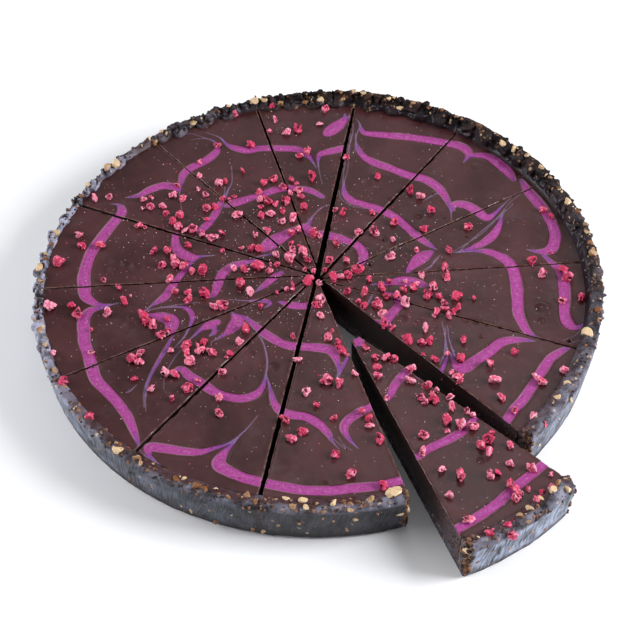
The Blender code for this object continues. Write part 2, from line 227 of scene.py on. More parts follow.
# Dried berry crumbs where the hand dropped them: x, y and width in mm, the drawn slice's in its drawn place.
BERRIES = (
    # The far left quarter.
    (-23, 134, 4.4), (-43, 128, 4.4), (-21, 124, 3.8), (-24, 115, 2.6), (-15, 113, 5), (-9, 116, 4.8),
    (-34, 104, 4.4), (-52, 104, 4), (-4, 99, 4.2), (-8, 95, 3.6), (-61, 92, 2.6), (-38, 84, 3.6),
    (-61, 81, 3), (-50, 75, 4.6), (-47, 77, 3.6), (-27, 75, 4.6), (-22, 77, 4), (-13, 77, 4.2),
    (-2, 78, 5.4), (-72, 74, 3.2), (-61, 71, 3.2), (-57, 67, 3.4), (-114, 65, 5.6), (-107, 66, 3.6),
    (-89, 63, 3.6), (-85, 65, 2.8), (-75, 66, 2.8), (-73, 67, 3.4), (-69, 64, 4.6), (-48, 63, 3),
    (-45, 63, 2.6), (-42, 65, 2.8), (-29, 68, 3.6), (-17, 72, 3.6), (-9, 69, 4.2), (-13, 67, 3),
    (-8, 64, 4.4), (-29, 62, 3.8), (-28, 57, 3.8), (-25, 61, 4), (-21, 59, 4), (-16, 62, 4), (-15, 60, 3),
    (-89, 57, 3), (-85, 57, 4.2), (-79, 58, 3.8), (-77, 53, 3.4), (-70, 51, 4.4), (-56, 56, 4.2),
    (-52, 57, 3.6), (-40, 51, 5.8), (-28, 51, 3.8), (-23, 51, 4.8), (-17, 54, 4.8), (-6, 56, 4.2),
    (-12, 48, 4.8), (-17, 46, 4), (-73, 47, 4), (-70, 43, 4.8), (-90, 44, 4.2), (-87, 43, 2.2), (-56, 48, 3),
    (-67, 40, 4.2), (-63, 41, 4.8), (-58, 38, 4), (-53, 35, 5), (-48, 38, 4.2), (-31, 36, 3.6), (-25, 39, 4),
    (-13, 38, 4.8), (-9, 40, 3.6), (-1, 36, 4.6), (-120, 38, 4.6), (-118, 30, 4.2), (-109, 30, 4.4),
    (-129, 18, 5.8), (-82, 26, 4.8), (-75, 26, 4.8), (-65, 30, 3.6), (-72, 22, 3.4), (-71, 17, 5.4),
    (-77, 16, 4.2), (-66, 15, 4.6), (-57, 12, 5), (-62, 11, 3.8), (-73, 6, 3.8), (-106, 6, 3.4),
    (-98, 1, 3.6), (-47, 26, 2.4), (-38, 27, 3), (-33, 27, 3.8), (-29, 26, 4.2), (-13, 30, 3),
    (-12, 26, 4.2), (-8, 27, 3.8), (-20, 22, 4.4), (-13, 19, 6.4), (-15, 22, 4), (-7, 23, 5), (-4, 18, 4),
    (-20, 15, 3), (-23, 16, 2.2), (-31, 14, 5.8), (-36, 12, 4.2), (-41, 13, 3.2), (-24, 11, 4),
    (-38, 2, 5.2), (-4, 6, 3.8), (-12, 0, 3.6), (-5, 3, 4.8), (-10, 74, 2.4), (-6, 12, 2.6), (-27, 64, 2.6),
    (-2, 10, 3),
    # The far right quarter.
    (6, 132, 4.6), (2, 120, 3.4), (17, 93, 3.2), (32, 78, 3.8), (49, 67, 5.6), (54, 63, 4.4), (10, 54, 3),
    (14, 53, 4.4), (29, 51, 3), (59, 52, 4.6), (40, 44, 4.4), (55, 39, 4.8), (78, 40, 4), (29, 37, 5),
    (21, 37, 4), (39, 32, 3.8), (1, 36, 3.4), (10, 30, 5), (50, 24, 4.2), (67, 23, 4.4), (37, 20, 4.8),
    (116, 51, 4.2), (120, 47, 3.6), (6, 18, 4.6), (15, 17, 4), (21, 11, 6), (15, 7, 4.6), (8, 5, 5),
    (26, 4, 3.6), (64, 12, 4.6), (64, 5, 5), (52, 7, 4.2), (36, 2, 4.4), (32, 0, 3.6), (108, 15, 4.8),
    (112, 6, 4.4), (123, 9, 4.6), (124, 3, 5.6), (1, 2, 3.6), (49, 1, 3.2), (57, 0, 3.2), (118, 21, 1.8),
    (12, 6, 3.4), (44, 2, 3), (4, 11, 2.6),
    # The near left quarter.
    (-131, -12, 6), (-121, -11, 3.6), (-117, -17, 4.6), (-103, -16, 5), (-95, -8, 5.2), (-70, -2, 4),
    (-64, -4, 4), (-63, -8, 5), (-55, -4, 5.2), (-33, -4, 5.6), (-15, -2, 2.8), (-12, -2, 2.6),
    (-51, -13, 4.2), (-46, -12, 5.8), (-28, -13, 2.8), (-1, -13, 3.6), (-85, -18, 5.2), (-84, -23, 3.8),
    (-80, -25, 4.8), (-76, -31, 4.6), (-72, -28, 3), (-73, -21, 3.2), (-35, -29, 5.6), (-110, -27, 2.4),
    (-127, -42, 3.8), (-109, -42, 3.4), (-63, -39, 5.4), (-55, -36, 3.6), (-58, -39, 3.4), (-56, -42, 5),
    (-51, -43, 4.4), (-38, -37, 4.2), (-71, -41, 3), (-85, -43, 4.4), (-89, -47, 4.6), (-86, -49, 4.2),
    (-63, -45, 5), (-61, -49, 4.8), (-42, -44, 3.4), (-121, -61, 5.4), (-87, -59, 3.8), (-73, -56, 4.8),
    (-68, -57, 4.6), (-46, -56, 4.2), (-57, -61, 3.8), (-61, -65, 4.8), (-79, -66, 4), (-69, -72, 3.4),
    (-47, -71, 4.6), (-47, -81, 4.4), (-107, -82, 4.4), (-12, -33, 3), (-10, -49, 4.2), (-6, -69, 5.4),
    (-1, -77, 4), (-16, -86, 4.2), (-8, -93, 4.4), (-14, -97, 4.6), (-20, -4, 2.4), (-92, -5, 2.2),
    (-44, -46, 2.2), (-82, -21, 3),
    # The near slices before the notch.
    (2, -10, 4.4), (1, -13, 3), (2, -20, 3.6), (7, -30, 2.4), (5, -35, 4.4), (10, -39, 4), (12, -43, 4.2),
    (17, -58, 4), (4, -63, 5.8), (10, -64, 4.6), (7, -85, 4.2), (20, -82, 4.4), (23, -86, 3.8),
    (23, -90, 4.6), (28, -98, 4.8), (7, -107, 4.2), (14, -118, 4.8), (29, -125, 4.2), (14, -46, 2.4),
    # The near slices beyond the notch.
    (15, -4, 3.8), (23, -6, 4.6), (32, -3, 4.6), (20, -11, 3.2), (23, -14, 4), (29, -14, 5.4), (34, -8, 4.6),
    (39, -8, 4.4), (43, -12, 5), (32, -19, 4.2), (32, -26, 4.8), (36, -28, 3.8), (43, -3, 4), (48, -2, 4.4),
    (54, -7, 4.8), (58, -2, 4.2), (60, -8, 3.8), (62, -13, 3.8), (62, -17, 4), (58, -19, 4.6), (69, -9, 5.6),
    (68, -16, 4.4), (66, -18, 3.2), (64, -21, 4.2), (77, -10, 3), (43, -37, 5), (50, -39, 3.8), (52, -30, 6),
    (54, -38, 4), (70, -37, 5), (62, -46, 2.8), (56, -50, 4.4), (68, -50, 5.4), (63, -58, 3), (67, -61, 4.8),
    (67, -64, 4.2), (82, -53, 5), (94, -46, 3.6), (83, -64, 5.4), (86, -74, 4.4), (103, -61, 4),
    (105, -65, 5), (118, -58, 4.4), (124, -58, 4.2), (91, -82, 4), (100, -86, 4.8), (104, -91, 4.6),
    (120, -12, 4.2), (130, -11, 4.4), (50, -46, 2.2), (30, -10, 2.4), (57, -21, 2.6),
    # The drawn slice.
    (23, -41, 3.8), (27, -48, 4.2), (33, -48, 4.6), (36, -49, 4), (28, -54, 4.2), (28, -60, 3.8),
    (44, -56, 4.8), (43, -63, 5.2), (32, -73, 2.8), (51, -66, 5.2), (56, -69, 3.4), (48, -73, 4.2),
    (50, -76, 3), (54, -75, 5), (61, -74, 3.6), (62, -80, 4.6), (69, -82, 3), (72, -85, 3.6), (59, -87, 5),
    (66, -91, 6), (71, -92, 4.6), (59, -94, 4.2), (48, -96, 4.6), (47, -106, 4.8), (80, -95, 3.2),
    (78, -100, 5.2), (74, -103, 4.8), (78, -107, 5.6), (88, -104, 3.8), (55, -117, 5), (64, -121, 5.8),
    (58, -131, 4.2), (77, -120, 4.4), (81, -119, 4.4), (87, -114, 3.8), (96, -116, 6.4), (105, -120, 2.8),
    (86, -125, 4.4), (88, -128, 4.4), (94, -128, 3.2), (88, -133, 4.8), (100, -130, 3), (105, -128, 3.6),
    (97, -135, 4), (66, -145, 5.6), (88, -146, 4.8), (83, -149, 4.6), (75, -153, 5), (84, -154, 4.4),
    (53, -71, 3), (90, -130, 3.4),
)

# Burst bubbles, pits and shallow dimples in the top: x, y, radius and depth in mm.
PITS = (
    (33.9, 32.7, 0.9, 1.6), (33.2, 33.5, 3.2, 0.35), (26.3, 15.2, 1.3, 1.8), (26.3, 15.2, 2.4, 0.3),
    (25, 25.5, 0.6, 0.9), (57, 54, 0.8, 1), (52.3, 49.2, 2.4, 0.55), (63.3, 17.5, 0.8, 0.5),
    (76, 33.5, 0.7, 0.8), (121, -38.2, 1.3, 1.8), (109.5, -16, 3.2, 0.4), (109.3, -24.5, 2.4, 0.35),
    (78.9, -34.8, 1.1, 0.6), (57.2, -28, 0.7, 0.8), (95, -73, 0.6, 0.7), (12.4, -102.6, 0.6, 1),
    (2.2, -123, 1.6, 0.5), (55, -82.5, 2.2, 0.35), (-32, -43.5, 1.9, 0.45), (-22, -52, 3.6, 0.4),
    (-92, -24, 3, 0.3), (-96, 17.5, 2.4, 0.4), (-91, 16, 3.2, 0.4), (-102, 14, 2.8, 0.25),
    (26, 74, 3.6, 0.3), (60.5, 65.2, 0.9, 0.5), (65.5, 47.5, 1, 0.45), (64, 49.5, 0.7, 0.4),
    (38, 62.5, 1.2, 0.4), (-62, 82, 0.8, 0.35), (-133, -12, 2.2, 0.3), (49.5, -24, 2.6, 0.3),
    (41, -22, 3, 0.45), (84, 86, 3, 0.15), (-40, -59, 1.2, 0.25), (72, -24, 1.6, 0.5), (77, -25, 2, 0.5),
    (82, -27, 1.4, 0.4), (-123, -45, 2, 0.25), (-45, 20, 2.4, 0.2), (-18, -112, 5, 0.15), (10, 112, 4, 0.15),
)

# Nut pieces pressed into the rim: angle in degrees, how far across it from its inside, length and shade.
RIM_NUTS = (
    (139.3, 0.6, 6.5, 0.1), (142, 0.5, 4.5, 0.35), (148.3, 0.5, 5, 0), (151.5, 0.6, 3.5, 0.8),
    (125, 0.6, 5, 0.05), (128.6, 0.35, 4.8, 0.6), (118, 0.3, 5.6, 0.15), (163.2, 0.55, 4.6, 0.3),
    (166.5, 0.5, 3.4, 0.8), (174, 0.75, 6.6, 0.2), (171, 0.5, 3.4, 0.6), (177.5, 0.5, 4, 0.45),
    (191.5, 0.6, 4, 0.5), (196, 0.5, 3, 0.4), (203, 0.5, 3.6, 0.45), (208, 0.4, 3, 0.4),
    (228.2, 0.7, 5.6, 0.15), (227.2, 0.4, 3, 0.7), (232, 0.5, 4.2, 0.5), (233.5, 0.7, 3.2, 0.4),
    (241.5, 0.6, 4.4, 0.85), (243, 0.4, 3, 0.3), (245.5, 0.6, 4.8, 0.8), (247.5, 0.5, 3.2, 0.7),
    (249.5, 0.3, 2.6, 0), (252.5, 0.6, 3, 0.5), (255.8, 0.25, 4.4, 0.55), (257.8, 0.7, 3, 0.7),
    (263.2, 0.15, 3.8, 0.05), (266.7, 0.15, 4.6, 0.1), (264.6, 0.7, 3.6, 0.45), (267.4, 0.7, 3.6, 0.2),
    (272.5, 0.5, 4.2, 0.1), (270.5, 0.9, 3, 0.5), (279.5, 0.5, 4.6, 0.5), (275.5, 0.9, 3.4, 0.4),
    (284.4, 0.3, 8.4, 0.12), (300.5, 0.9, 3, 0.4), (308.7, 0.5, 4.6, 0.1), (311, 0.8, 4.4, 0.05),
    (310.3, 0.4, 3.6, 0.6), (306, 0.3, 3.8, 0.15), (302.9, 0.4, 4.6, 0.3), (299.8, 0.4, 3.2, 0.4),
    (329.8, 0.5, 4.4, 0.05), (325.5, 0.5, 4, 0.25), (344, 0.4, 6.4, 0.05), (350.2, 0.5, 4.2, 0.75),
    (347.5, 0.6, 3, 0.6), (6, 0.5, 5, 0.5), (9, 0.5, 3.6, 0.7), (12, 0.5, 3.4, 0.3), (14, 0.7, 3.2, 0.5),
    (21.5, 0.4, 5.2, 0.05), (18, 0.6, 3.2, 0.8), (41.3, 0.5, 4.6, 0.05), (44.5, 0.4, 4.8, 0.1),
    (37.8, 0.6, 3.6, 0.3), (33, 0.6, 3.4, 0.2), (29.5, 0.6, 3, 0.6), (70.5, 0.2, 4.4, 0.05),
    (73.4, 0.5, 4, 0.3), (67.5, 0.5, 3.2, 0.5), (81.5, 0.5, 4.2, 0.4), (79, 0.6, 3.6, 0.2),
    (83.5, 0.5, 3.2, 0.5), (88.5, 0.5, 4, 0.1), (92, 0.5, 3.8, 0.6), (97.5, 0.5, 3.4, 0.5),
    (101.5, 0.6, 4.2, 0.3), (103.5, 0.5, 5, 0.2), (109.5, 0.5, 3, 0.1), (64, 0.6, 3, 0.7), (61, 0.6, 3, 0.8),
    (51, 0.6, 3, 0.8),
)

# Nut pieces and toasted crumbs in the crust's cut ends: slice, its cut (0 right and 1 left, seen from the
# point), how far inwards from the wall, height, length in mm and shade.
CUT_NUTS = (
    (9, 0, 3.2, 20.5, 5.4, 0.1), (9, 0, 4.4, 15.5, 3.4, 0.5), (8, 1, 3.4, 15, 4.6, 0),
    (8, 1, 3, 9.5, 3.2, 0.85), (10, 0, 3, 20.5, 3.4, 0.6), (10, 0, 2.2, 12, 2.6, 0.7),
)
CUT_CRUMBS = (
    (9, 0, 2, 17, 2.4, 0.95), (9, 0, 4, 12.5, 2.2, 0.9), (9, 0, 2.5, 9, 2.4, 1), (9, 0, 4.4, 5.5, 1.8, 0.8),
    (9, 0, 1.6, 4, 2, 0.9), (8, 1, 2, 12, 2, 0.8), (8, 1, 4.4, 20, 2.2, 0.6), (10, 0, 2, 23.5, 2.4, 0.9),
    (10, 0, 4, 19, 2.4, 0.95), (10, 0, 2, 16, 2, 0.9), (10, 0, 3.8, 13, 2.2, 0.85),
    (10, 0, 2.6, 9, 2.2, 0.9), (10, 0, 4, 6, 1.8, 0.8),
)

# Nut pieces that show in the outer wall: angle in degrees, height, length in mm and shade.
WALL_NUTS = (
    (242.2, 7, 5, 0.15), (244.3, 5.5, 4.2, 0.2), (249.8, 3.2, 4.6, 0.7), (257, 5, 3.2, 0.6),
    (259.2, 4.6, 3.4, 0.35), (266, 15, 3, 0.5), (272.5, 18, 4.2, 0.45), (276.8, 16.5, 4.6, 0.35),
    (270.5, 19.5, 3.4, 0.6), (280.5, 19.5, 3.2, 0.55), (275, 8, 3.6, 0.5), (262, 12, 2.6, 0.5),
    (253, 14, 2.4, 0.4), (236, 13, 2.6, 0.5), (231, 8, 2.4, 0.5), (222, 14, 2.2, 0.4), (285, 14.5, 4.6, 0),
    (285.5, 6.5, 3.6, 0.9), (290, 12, 2.4, 0.5), (293, 17, 2.4, 0.45), (297, 10, 2.2, 0.4),
    (302, 15, 2.6, 0.4), (306, 8, 2.4, 0.6), (318, 12, 2.6, 0.3), (324, 18, 2.4, 0.4), (331, 9, 2.2, 0.5),
    (200, 14, 2.2, 0.5), (188, 9, 2.4, 0.5), (176, 16, 2.6, 0.4), (160, 12, 2.4, 0.5), (142, 9, 2.6, 0.4),
    (121, 14, 2.4, 0.5), (104, 10, 2.6, 0.4), (88, 16, 2.8, 0.3), (71, 9, 2.4, 0.5), (55, 14, 2.6, 0.4),
    (38, 18, 3, 0.3), (24, 9, 2.4, 0.5), (8, 15, 2.6, 0.4), (352, 8, 2.4, 0.5), (343, 16, 2.6, 0.4),
)

# Big lumps of pressed crumbs that stand out of the rim: angle in degrees, how far across it, rise and size.
RIM_KNOBS = (
    (308.6, 0.55, 1.6, 4.6), (310.2, 0.35, 2.4, 3.4), (284.6, 0.5, 0.4, 3.6), (173.5, 0.95, 0.8, 5.4),
    (170.3, 0.9, 0.3, 4.4), (164.5, 0.85, 0.5, 5), (179, 0.8, -0.6, 4.6), (158.6, 0.7, 0.8, 5.4),
    (152.6, 0.7, 0.4, 5), (147, 0.65, 0.9, 5.6), (141.6, 0.65, 0.6, 5.2), (138.4, 0.55, 0.6, 4.4),
    (185, 0.7, 0.2, 4.6), (190.5, 0.7, 0.3, 5), (196.5, 0.7, 0.1, 4.4), (201, 0.6, 0.2, 4.2),
    (126, 0.6, 1.2, 5.6), (121.5, 0.55, 1.9, 7.2), (115.5, 0.55, 2.4, 7.6), (109.5, 0.5, 1.6, 6.8),
    (100.2, 0.5, 0.6, 6.2), (95, 0.5, 1.2, 6.6), (90, 0.5, 0.9, 6.8), (85.2, 0.5, 0.4, 5.6),
    (76.5, 0.5, 0.8, 6.4), (71.2, 0.5, 0.9, 6.6), (66, 0.5, 0.5, 6.2), (60.5, 0.5, 0.2, 5.6),
    (53.6, 0.55, 0.8, 6.2), (48.8, 0.6, 1.2, 7), (43.6, 0.55, 0.9, 6.6), (38.6, 0.55, 0.8, 6.6),
    (33.6, 0.6, 0.6, 6.2), (28, 0.6, 0.6, 6), (21.5, 0.6, 0.5, 6.2), (14, 0.65, 0.4, 5.6),
    (7.5, 0.6, 0.3, 5.4), (2, 0.7, 0.2, 6), (356.5, 0.65, -0.2, 5.8), (352, 0.7, -0.2, 3.6),
    (329, 0.5, 0.4, 3.4), (258.5, 0.3, 0.2, 2.8), (262, 0.4, 0.2, 3.2), (227.5, 0.6, 0.4, 3.4),
)

# How the crust changes round the tart: angle, size of its lumps, pale film (partly painted light), toasted
# bits, chocolate smeared over its inner half, and how pale the moulded wall's streaks are (painted light and
# shade).
RIM_CHARACTER = (
    (0, 0.75, 0.15, 0.75, 0, 0.35), (30, 0.8, 0.03, 0.7, 0, 0.3), (60, 0.85, 0, 0.75, 0, 0.3),
    (90, 1, 0, 0.5, 0, 0.3), (104, 1, 0.08, 0.45, 0, 0.3), (124, 0.9, 0.35, 0.5, 0.3, 0.3),
    (131, 0.45, 0.5, 0.3, 0.9, 0.4), (138, 0.7, 0.85, 0.5, 0.3, 0.45), (150, 0.85, 1, 0.5, 0, 0.6),
    (175, 1, 1.15, 0.6, 0, 0.85), (195, 0.75, 1.1, 0.6, 0.1, 0.85), (210, 0.4, 0.9, 0.5, 0.7, 0.75),
    (225, 0.25, 0.5, 0.5, 1, 0.42), (262, 0.22, 0.4, 0.45, 1, 0.06), (286, 0.25, 0.4, 0.4, 1, 0.06),
    (287, 0.25, 0.45, 0.35, 1, 1), (311, 0.35, 0.45, 0.35, 0.9, 1), (313, 0.35, 0.5, 0.35, 0.9, 0.8),
    (335, 0.45, 0.4, 0.45, 0.5, 0.6), (350, 0.6, 0.2, 0.6, 0.1, 0.45), (360, 0.75, 0.1, 0.8, 0, 0.35),
)

# The smooth band of crust just above the filling: angle and how plain it shows.
SMOOTH_BAND = ((0, 1.0), (72, 1.0), (82, 0.5), (100, 0.4), (108, 0.9), (123, 0.9), (128, 0.0), (340, 0.0),
               (350, 1.0), (360, 1.0))


def linear(colour):
    """An sRGB hex colour as linear red, green, blue and full opacity."""
    parts = [int(colour[i : i + 2], 16) / 255 for i in (1, 3, 5)]
    return (*[p / 12.92 if p <= 0.04045 else ((p + 0.055) / 1.055) ** 2.4 for p in parts], 1.0)


def colour_choice(name, text, default):
    return FloatVectorProperty(
        name=name, description=text, default=linear(default), size=4, min=0, max=1, subtype="COLOR"
    )


def length_choice(name, text, millimetres):
    return FloatProperty(name=name, description=text, default=millimetres * MM, min=0, unit="LENGTH",
                         precision=5)


def power_choice(name, text, watts):
    return FloatProperty(name=name, description=text, default=watts, min=0, subtype="POWER")


class TartColours(bpy.types.PropertyGroup):
    chocolate: colour_choice("Chocolate", "The poured top where it is darkest", "#361a1a")
    chocolate_pale: colour_choice("Paler chocolate", "The poured top where it is palest", "#4b2829")
    chocolate_cut: colour_choice("Cut chocolate", "The faces that the knife left", "#1b0d0c")
    # Haze also stands for painted light on the cut faces near the rim, together with crumb dust.
    haze: colour_choice("Haze", "Rubbed smudges and crumb dust on the chocolate", "#56454c")
    burr: colour_choice("Burr", "The rubbed edge along a cut", "#8a6a60")
    swirl: colour_choice("Swirl", "The broad bands of the swirl", "#9b3a82")
    swirl_tail: colour_choice("Swirl tail", "The swirl where it is dragged thin", "#6f3a88")
    wisp: colour_choice("Wisp", "The finest scratched lines", "#967f9f")
    # Crust and crust brown are mixed by height: painted shade in the hollows, painted light on what stands
    # out.
    crust: colour_choice("Crust", "Pressed cocoa crumbs in the hollows", "#170d0f")
    crust_brown: colour_choice("Crust brown", "Pressed cocoa crumbs where they stand out", "#39241f")
    crust_tan: colour_choice("Crust tan", "The toasted bits in the crust", "#8d6140")
    bloom: colour_choice("Bloom", "The greyish film on the moulded wall", "#302e32")
    # Pale bloom is partly a painted sheen; how much of it shows round the tart is painted light.
    pale_streak_and_sheen: colour_choice("Pale bloom", "The moulded wall's streaks where they are palest", "#a2acc2")
    # The film is partly painted light, palest on the left of the rim.
    film: colour_choice("Film", "The dusty film on the rim", "#b4b5cb")
    # The swirl's pale border is partly a painted highlight on the sunk swirl's rim.
    swirl_edge_and_highlight: colour_choice("Swirl edge", "The thin line that borders the swirl", "#b48e9e")
    swirl_light: colour_choice("Swirl light", "The paler grain in the swirl", "#c77ab8")
    bloom_dark: colour_choice("Dark bloom", "The moulded wall between its streaks", "#1c191c")
    nut: colour_choice("Nut", "Broken walnut flesh", "#d8bb93")
    # Nut skin also stands for painted shade in a nut's hollows.
    nut_skin: colour_choice("Nut skin", "The brown skin and toasted edge of a nut", "#7b4a22")
    berry: colour_choice("Berry", "Dried raspberry", "#c32755")
    # Pale berry also stands for painted light on what stands out on the crumbs.
    berry_pale: colour_choice("Pale berry", "The dried drupelets' frosted tops", "#f6a4ba")
    # Deep berry also stands for painted shade in the crumbs' hollows.
    berry_deep_and_shade: colour_choice("Deep berry", "The hollows of a crumb", "#5e0a26")
    dust: colour_choice("Dust", "The palest dust on the top", "#cfb6c2")


class TartSizes(bpy.types.PropertyGroup):
    top_step: length_choice("Top step", "Spacing of the top's mesh", 0.5)
    swirl_depth: length_choice("Swirl depth", "How far the swirl lies below the top", 0.28)
    wave_height: length_choice("Wave height", "How far the top swells and sinks", 0.2)
    crust_step: length_choice("Crust step", "Spacing of the crust's mesh", 0.56)
    lump_spacing: length_choice("Lump spacing", "Least distance between pressed lumps", 4.4)
    lump_small: length_choice("Smallest lump", "Radius of the smallest pressed lump", 1.3)
    lump_large: length_choice("Largest lump", "Radius of the largest pressed lump", 3.3)
    rough_height: length_choice("Roughness height", "How far the broken crust is rough", 0.62)
    crumb_height: length_choice("Crumb height", "How far the finest crumbs stand out", 0.17)
    crack_depth: length_choice("Crack depth", "Depth of the upright cracks inside the rim", 1.3)
    small_nuts: IntProperty(name="Small nuts", description="Strewn nut bits in the rim", default=170, min=0)
    crust_crumbs: IntProperty(name="Crust crumbs", description="Strewn crust crumbs", default=760, min=0)
    front_crumbs: IntProperty(name="Front crumbs", description="More crumbs on the rim's near side",
                              default=170, min=0)
    specks: IntProperty(name="Specks", description="Strewn specks on the top", default=1800, min=0)


class StageChoices(bpy.types.PropertyGroup):
    floor: colour_choice("Floor", "The floor's colour", "#fbfbfb")
    sky: FloatProperty(name="Sky", description="Strength of the light all round", default=0.27, min=0)
    key: power_choice("Key", "Power of the light from the right", 24.5)
    window: power_choice("Window", "Power of the tall light behind", 0.55)
    glint: power_choice("Glint", "Power of the small light high up behind on the right", 0.62)
    fill: power_choice("Fill", "Power of the light from the left", 15.5)
    lens: FloatProperty(name="Lens", description="Focal length", default=0.1125, unit="CAMERA")


def chosen():
    """The scene's three groups of choices: colours, sizes and stage."""
    scene = bpy.context.scene
    return scene.tart_colours, scene.tart_sizes, scene.tart_stage


# Short names for the nodes used most, each with the setting that goes with it.
KINDS = {
    "Blend": ("Mix", {"data_type": "RGBA"}),
    "Plus": ("Math", {"operation": "ADD"}),
    "Times": ("Math", {"operation": "MULTIPLY"}),
    "TimesPlus": ("Math", {"operation": "MULTIPLY_ADD"}),
    "Over": ("Math", {"operation": "GREATER_THAN"}),
    "Under": ("Math", {"operation": "LESS_THAN"}),
    "Scaled": ("VectorMath", {"operation": "SCALE"}),
    "NamedNumber": ("GeometryNodeInputNamedAttribute", {"data_type": "FLOAT"}),
    "NamedVector": ("GeometryNodeInputNamedAttribute", {"data_type": "FLOAT_VECTOR"}),
}


def feed(node, *inputs):
    """Sets a node's inputs, in the order of its sockets in use or by name in a dict.

    Each is a value, a socket or another node, which gives its first output in use.
    """
    sockets = [socket for socket in node.inputs if socket.enabled]
    if inputs and isinstance(inputs[0], dict):
        named = {socket.name: socket for socket in reversed(sockets)}
        sockets, inputs = [named[name] for name in inputs[0]], inputs[0].values()
    for socket, value in zip(sockets, inputs):
        if isinstance(value, bpy.types.Node):
            value = next(output for output in value.outputs if output.enabled)
        if isinstance(value, bpy.types.NodeSocket):
            node.id_data.links.new(value, socket)
        else:
            socket.default_value = value


def add_node(tree, kind, *inputs, **settings):
    """Adds a node with its settings and inputs. Its kind is one of KINDS or Blender's, less ShaderNode."""
    kind, usual = KINDS.get(kind, (kind, {}))
    made = tree.nodes.new(kind if "Node" in kind else "ShaderNode" + kind)
    for name, value in {**usual, **settings}.items():
        setattr(made, name, value)
    feed(made, *inputs)
    return made


def new_finish(name):
    """A new material, a call that adds a node to it, and its shader."""
    material = bpy.data.materials.new(name)
    material.use_nodes = True
    tree = material.node_tree
    return material, partial(add_node, tree), tree.nodes["Principled BSDF"]


# ---- shared shaping


def ripple(x, y, size, seed):
    """A smooth random field from about -1 to 1 with hills a given distance apart."""
    table = np.random.RandomState(seed).uniform(-1, 1, (64, 64))
    u, v = np.asarray(x) / size + 16.0, np.asarray(y) / size + 16.0
    i, j = np.floor(u).astype(int), np.floor(v).astype(int)
    f, g = u - i, v - j
    f, g = f * f * (3 - 2 * f), g * g * (3 - 2 * g)
    low = table[i % 64, j % 64] * (1 - f) + table[(i + 1) % 64, j % 64] * f
    high = table[i % 64, (j + 1) % 64] * (1 - f) + table[(i + 1) % 64, (j + 1) % 64] * f
    return low * (1 - g) + high * g


def smooth(x, low, high):
    """0 below low, 1 above high and a smooth step between."""
    t = np.clip((np.asarray(x, float) - low) / (high - low), 0, 1)
    return t * t * (3 - 2 * t)


def spin(points, angle):
    """Plan points turned about the origin."""
    c, s = math.cos(angle), math.sin(angle)
    return points @ np.array(((c, s), (-s, c)))


def to_row(points, number):
    """Home points in mm as row-frame points in metres. The drawn slice is slid out and turned."""
    plan = points[:, :2].copy()
    if number == DRAWN_SLICE:
        plan = spin(plan - CROSSING, DRAWN_TURN) + CROSSING + DRAWN_BY
    return np.column_stack((plan + CENTRE, points[:, 2])) * MM


def to_home(points, number):
    """Row-frame points in metres as home points in mm."""
    points = np.asarray(points, float) / MM
    plan = points[:, :2] - CENTRE
    if number == DRAWN_SLICE:
        plan = spin(plan - CROSSING - DRAWN_BY, -DRAWN_TURN) + CROSSING
    return np.column_stack((plan, points[:, 2]))


def vertices_of(mesh):
    flat = np.empty(len(mesh.vertices) * 3)
    mesh.vertices.foreach_get("co", flat)
    return flat.reshape(-1, 3)


def write_vertices(mesh, points):
    mesh.vertices.foreach_set("co", np.asarray(points, np.float32).ravel())
    mesh.update()


def store(mesh, name, values):
    """Writes a number or a vector at each vertex as a named attribute."""
    values = np.asarray(values, np.float32)
    kind, field = ("FLOAT_VECTOR", "vector") if values.ndim == 2 else ("FLOAT", "value")
    attribute = mesh.attributes.get(name) or mesh.attributes.new(name, kind, "POINT")
    attribute.data.foreach_set(field, values.ravel())


def new_object(name, mesh):
    made = bpy.data.objects.new(name, mesh)
    bpy.context.scene.collection.objects.link(made)
    return made


def as_plain(obj, name):
    """The object's evaluated mesh as a plain mesh under a new name; the object is removed."""
    bpy.context.view_layer.update()
    mesh = bpy.data.meshes.new_from_object(obj.evaluated_get(bpy.context.evaluated_depsgraph_get()))
    mesh.name = name
    old = obj.data
    bpy.data.objects.remove(obj, do_unlink=True)
    bpy.data.meshes.remove(old)
    return mesh


def finish_piece(obj, nodes=()):
    """Rides the piece on the tart's one body and the CAD nodes that it stands for."""
    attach(obj, "root")
    if nodes:
        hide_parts(*nodes)
    return obj


def add_modifier(obj, tree, values):
    """A Geometry Nodes modifier with its inputs set by their identifiers."""
    modifier = obj.modifiers.new(tree.name, "NODES")
    modifier.node_group = tree
    sockets = {item.name: item.identifier for item in tree.interface.items_tree if item.in_out == "INPUT"}
    for name, value in values.items():
        modifier[sockets[name]] = value
    return modifier


def new_tree(name, inputs):
    """An empty Geometry Nodes tree, a call that adds a node to it, and the node with its named inputs."""
    tree = bpy.data.node_groups.new(name, "GeometryNodeTree")
    tree.interface.new_socket("Geometry", in_out="INPUT", socket_type="NodeSocketGeometry")
    for label, kind, default in inputs:
        socket = tree.interface.new_socket(label, in_out="INPUT", socket_type="NodeSocket" + kind)
        if default is not None:
            socket.default_value = default
    tree.interface.new_socket("Geometry", in_out="OUTPUT", socket_type="NodeSocketGeometry")
    add = partial(add_node, tree)
    return tree, add, add("NodeGroupInput")


# ---- the slices' outlines


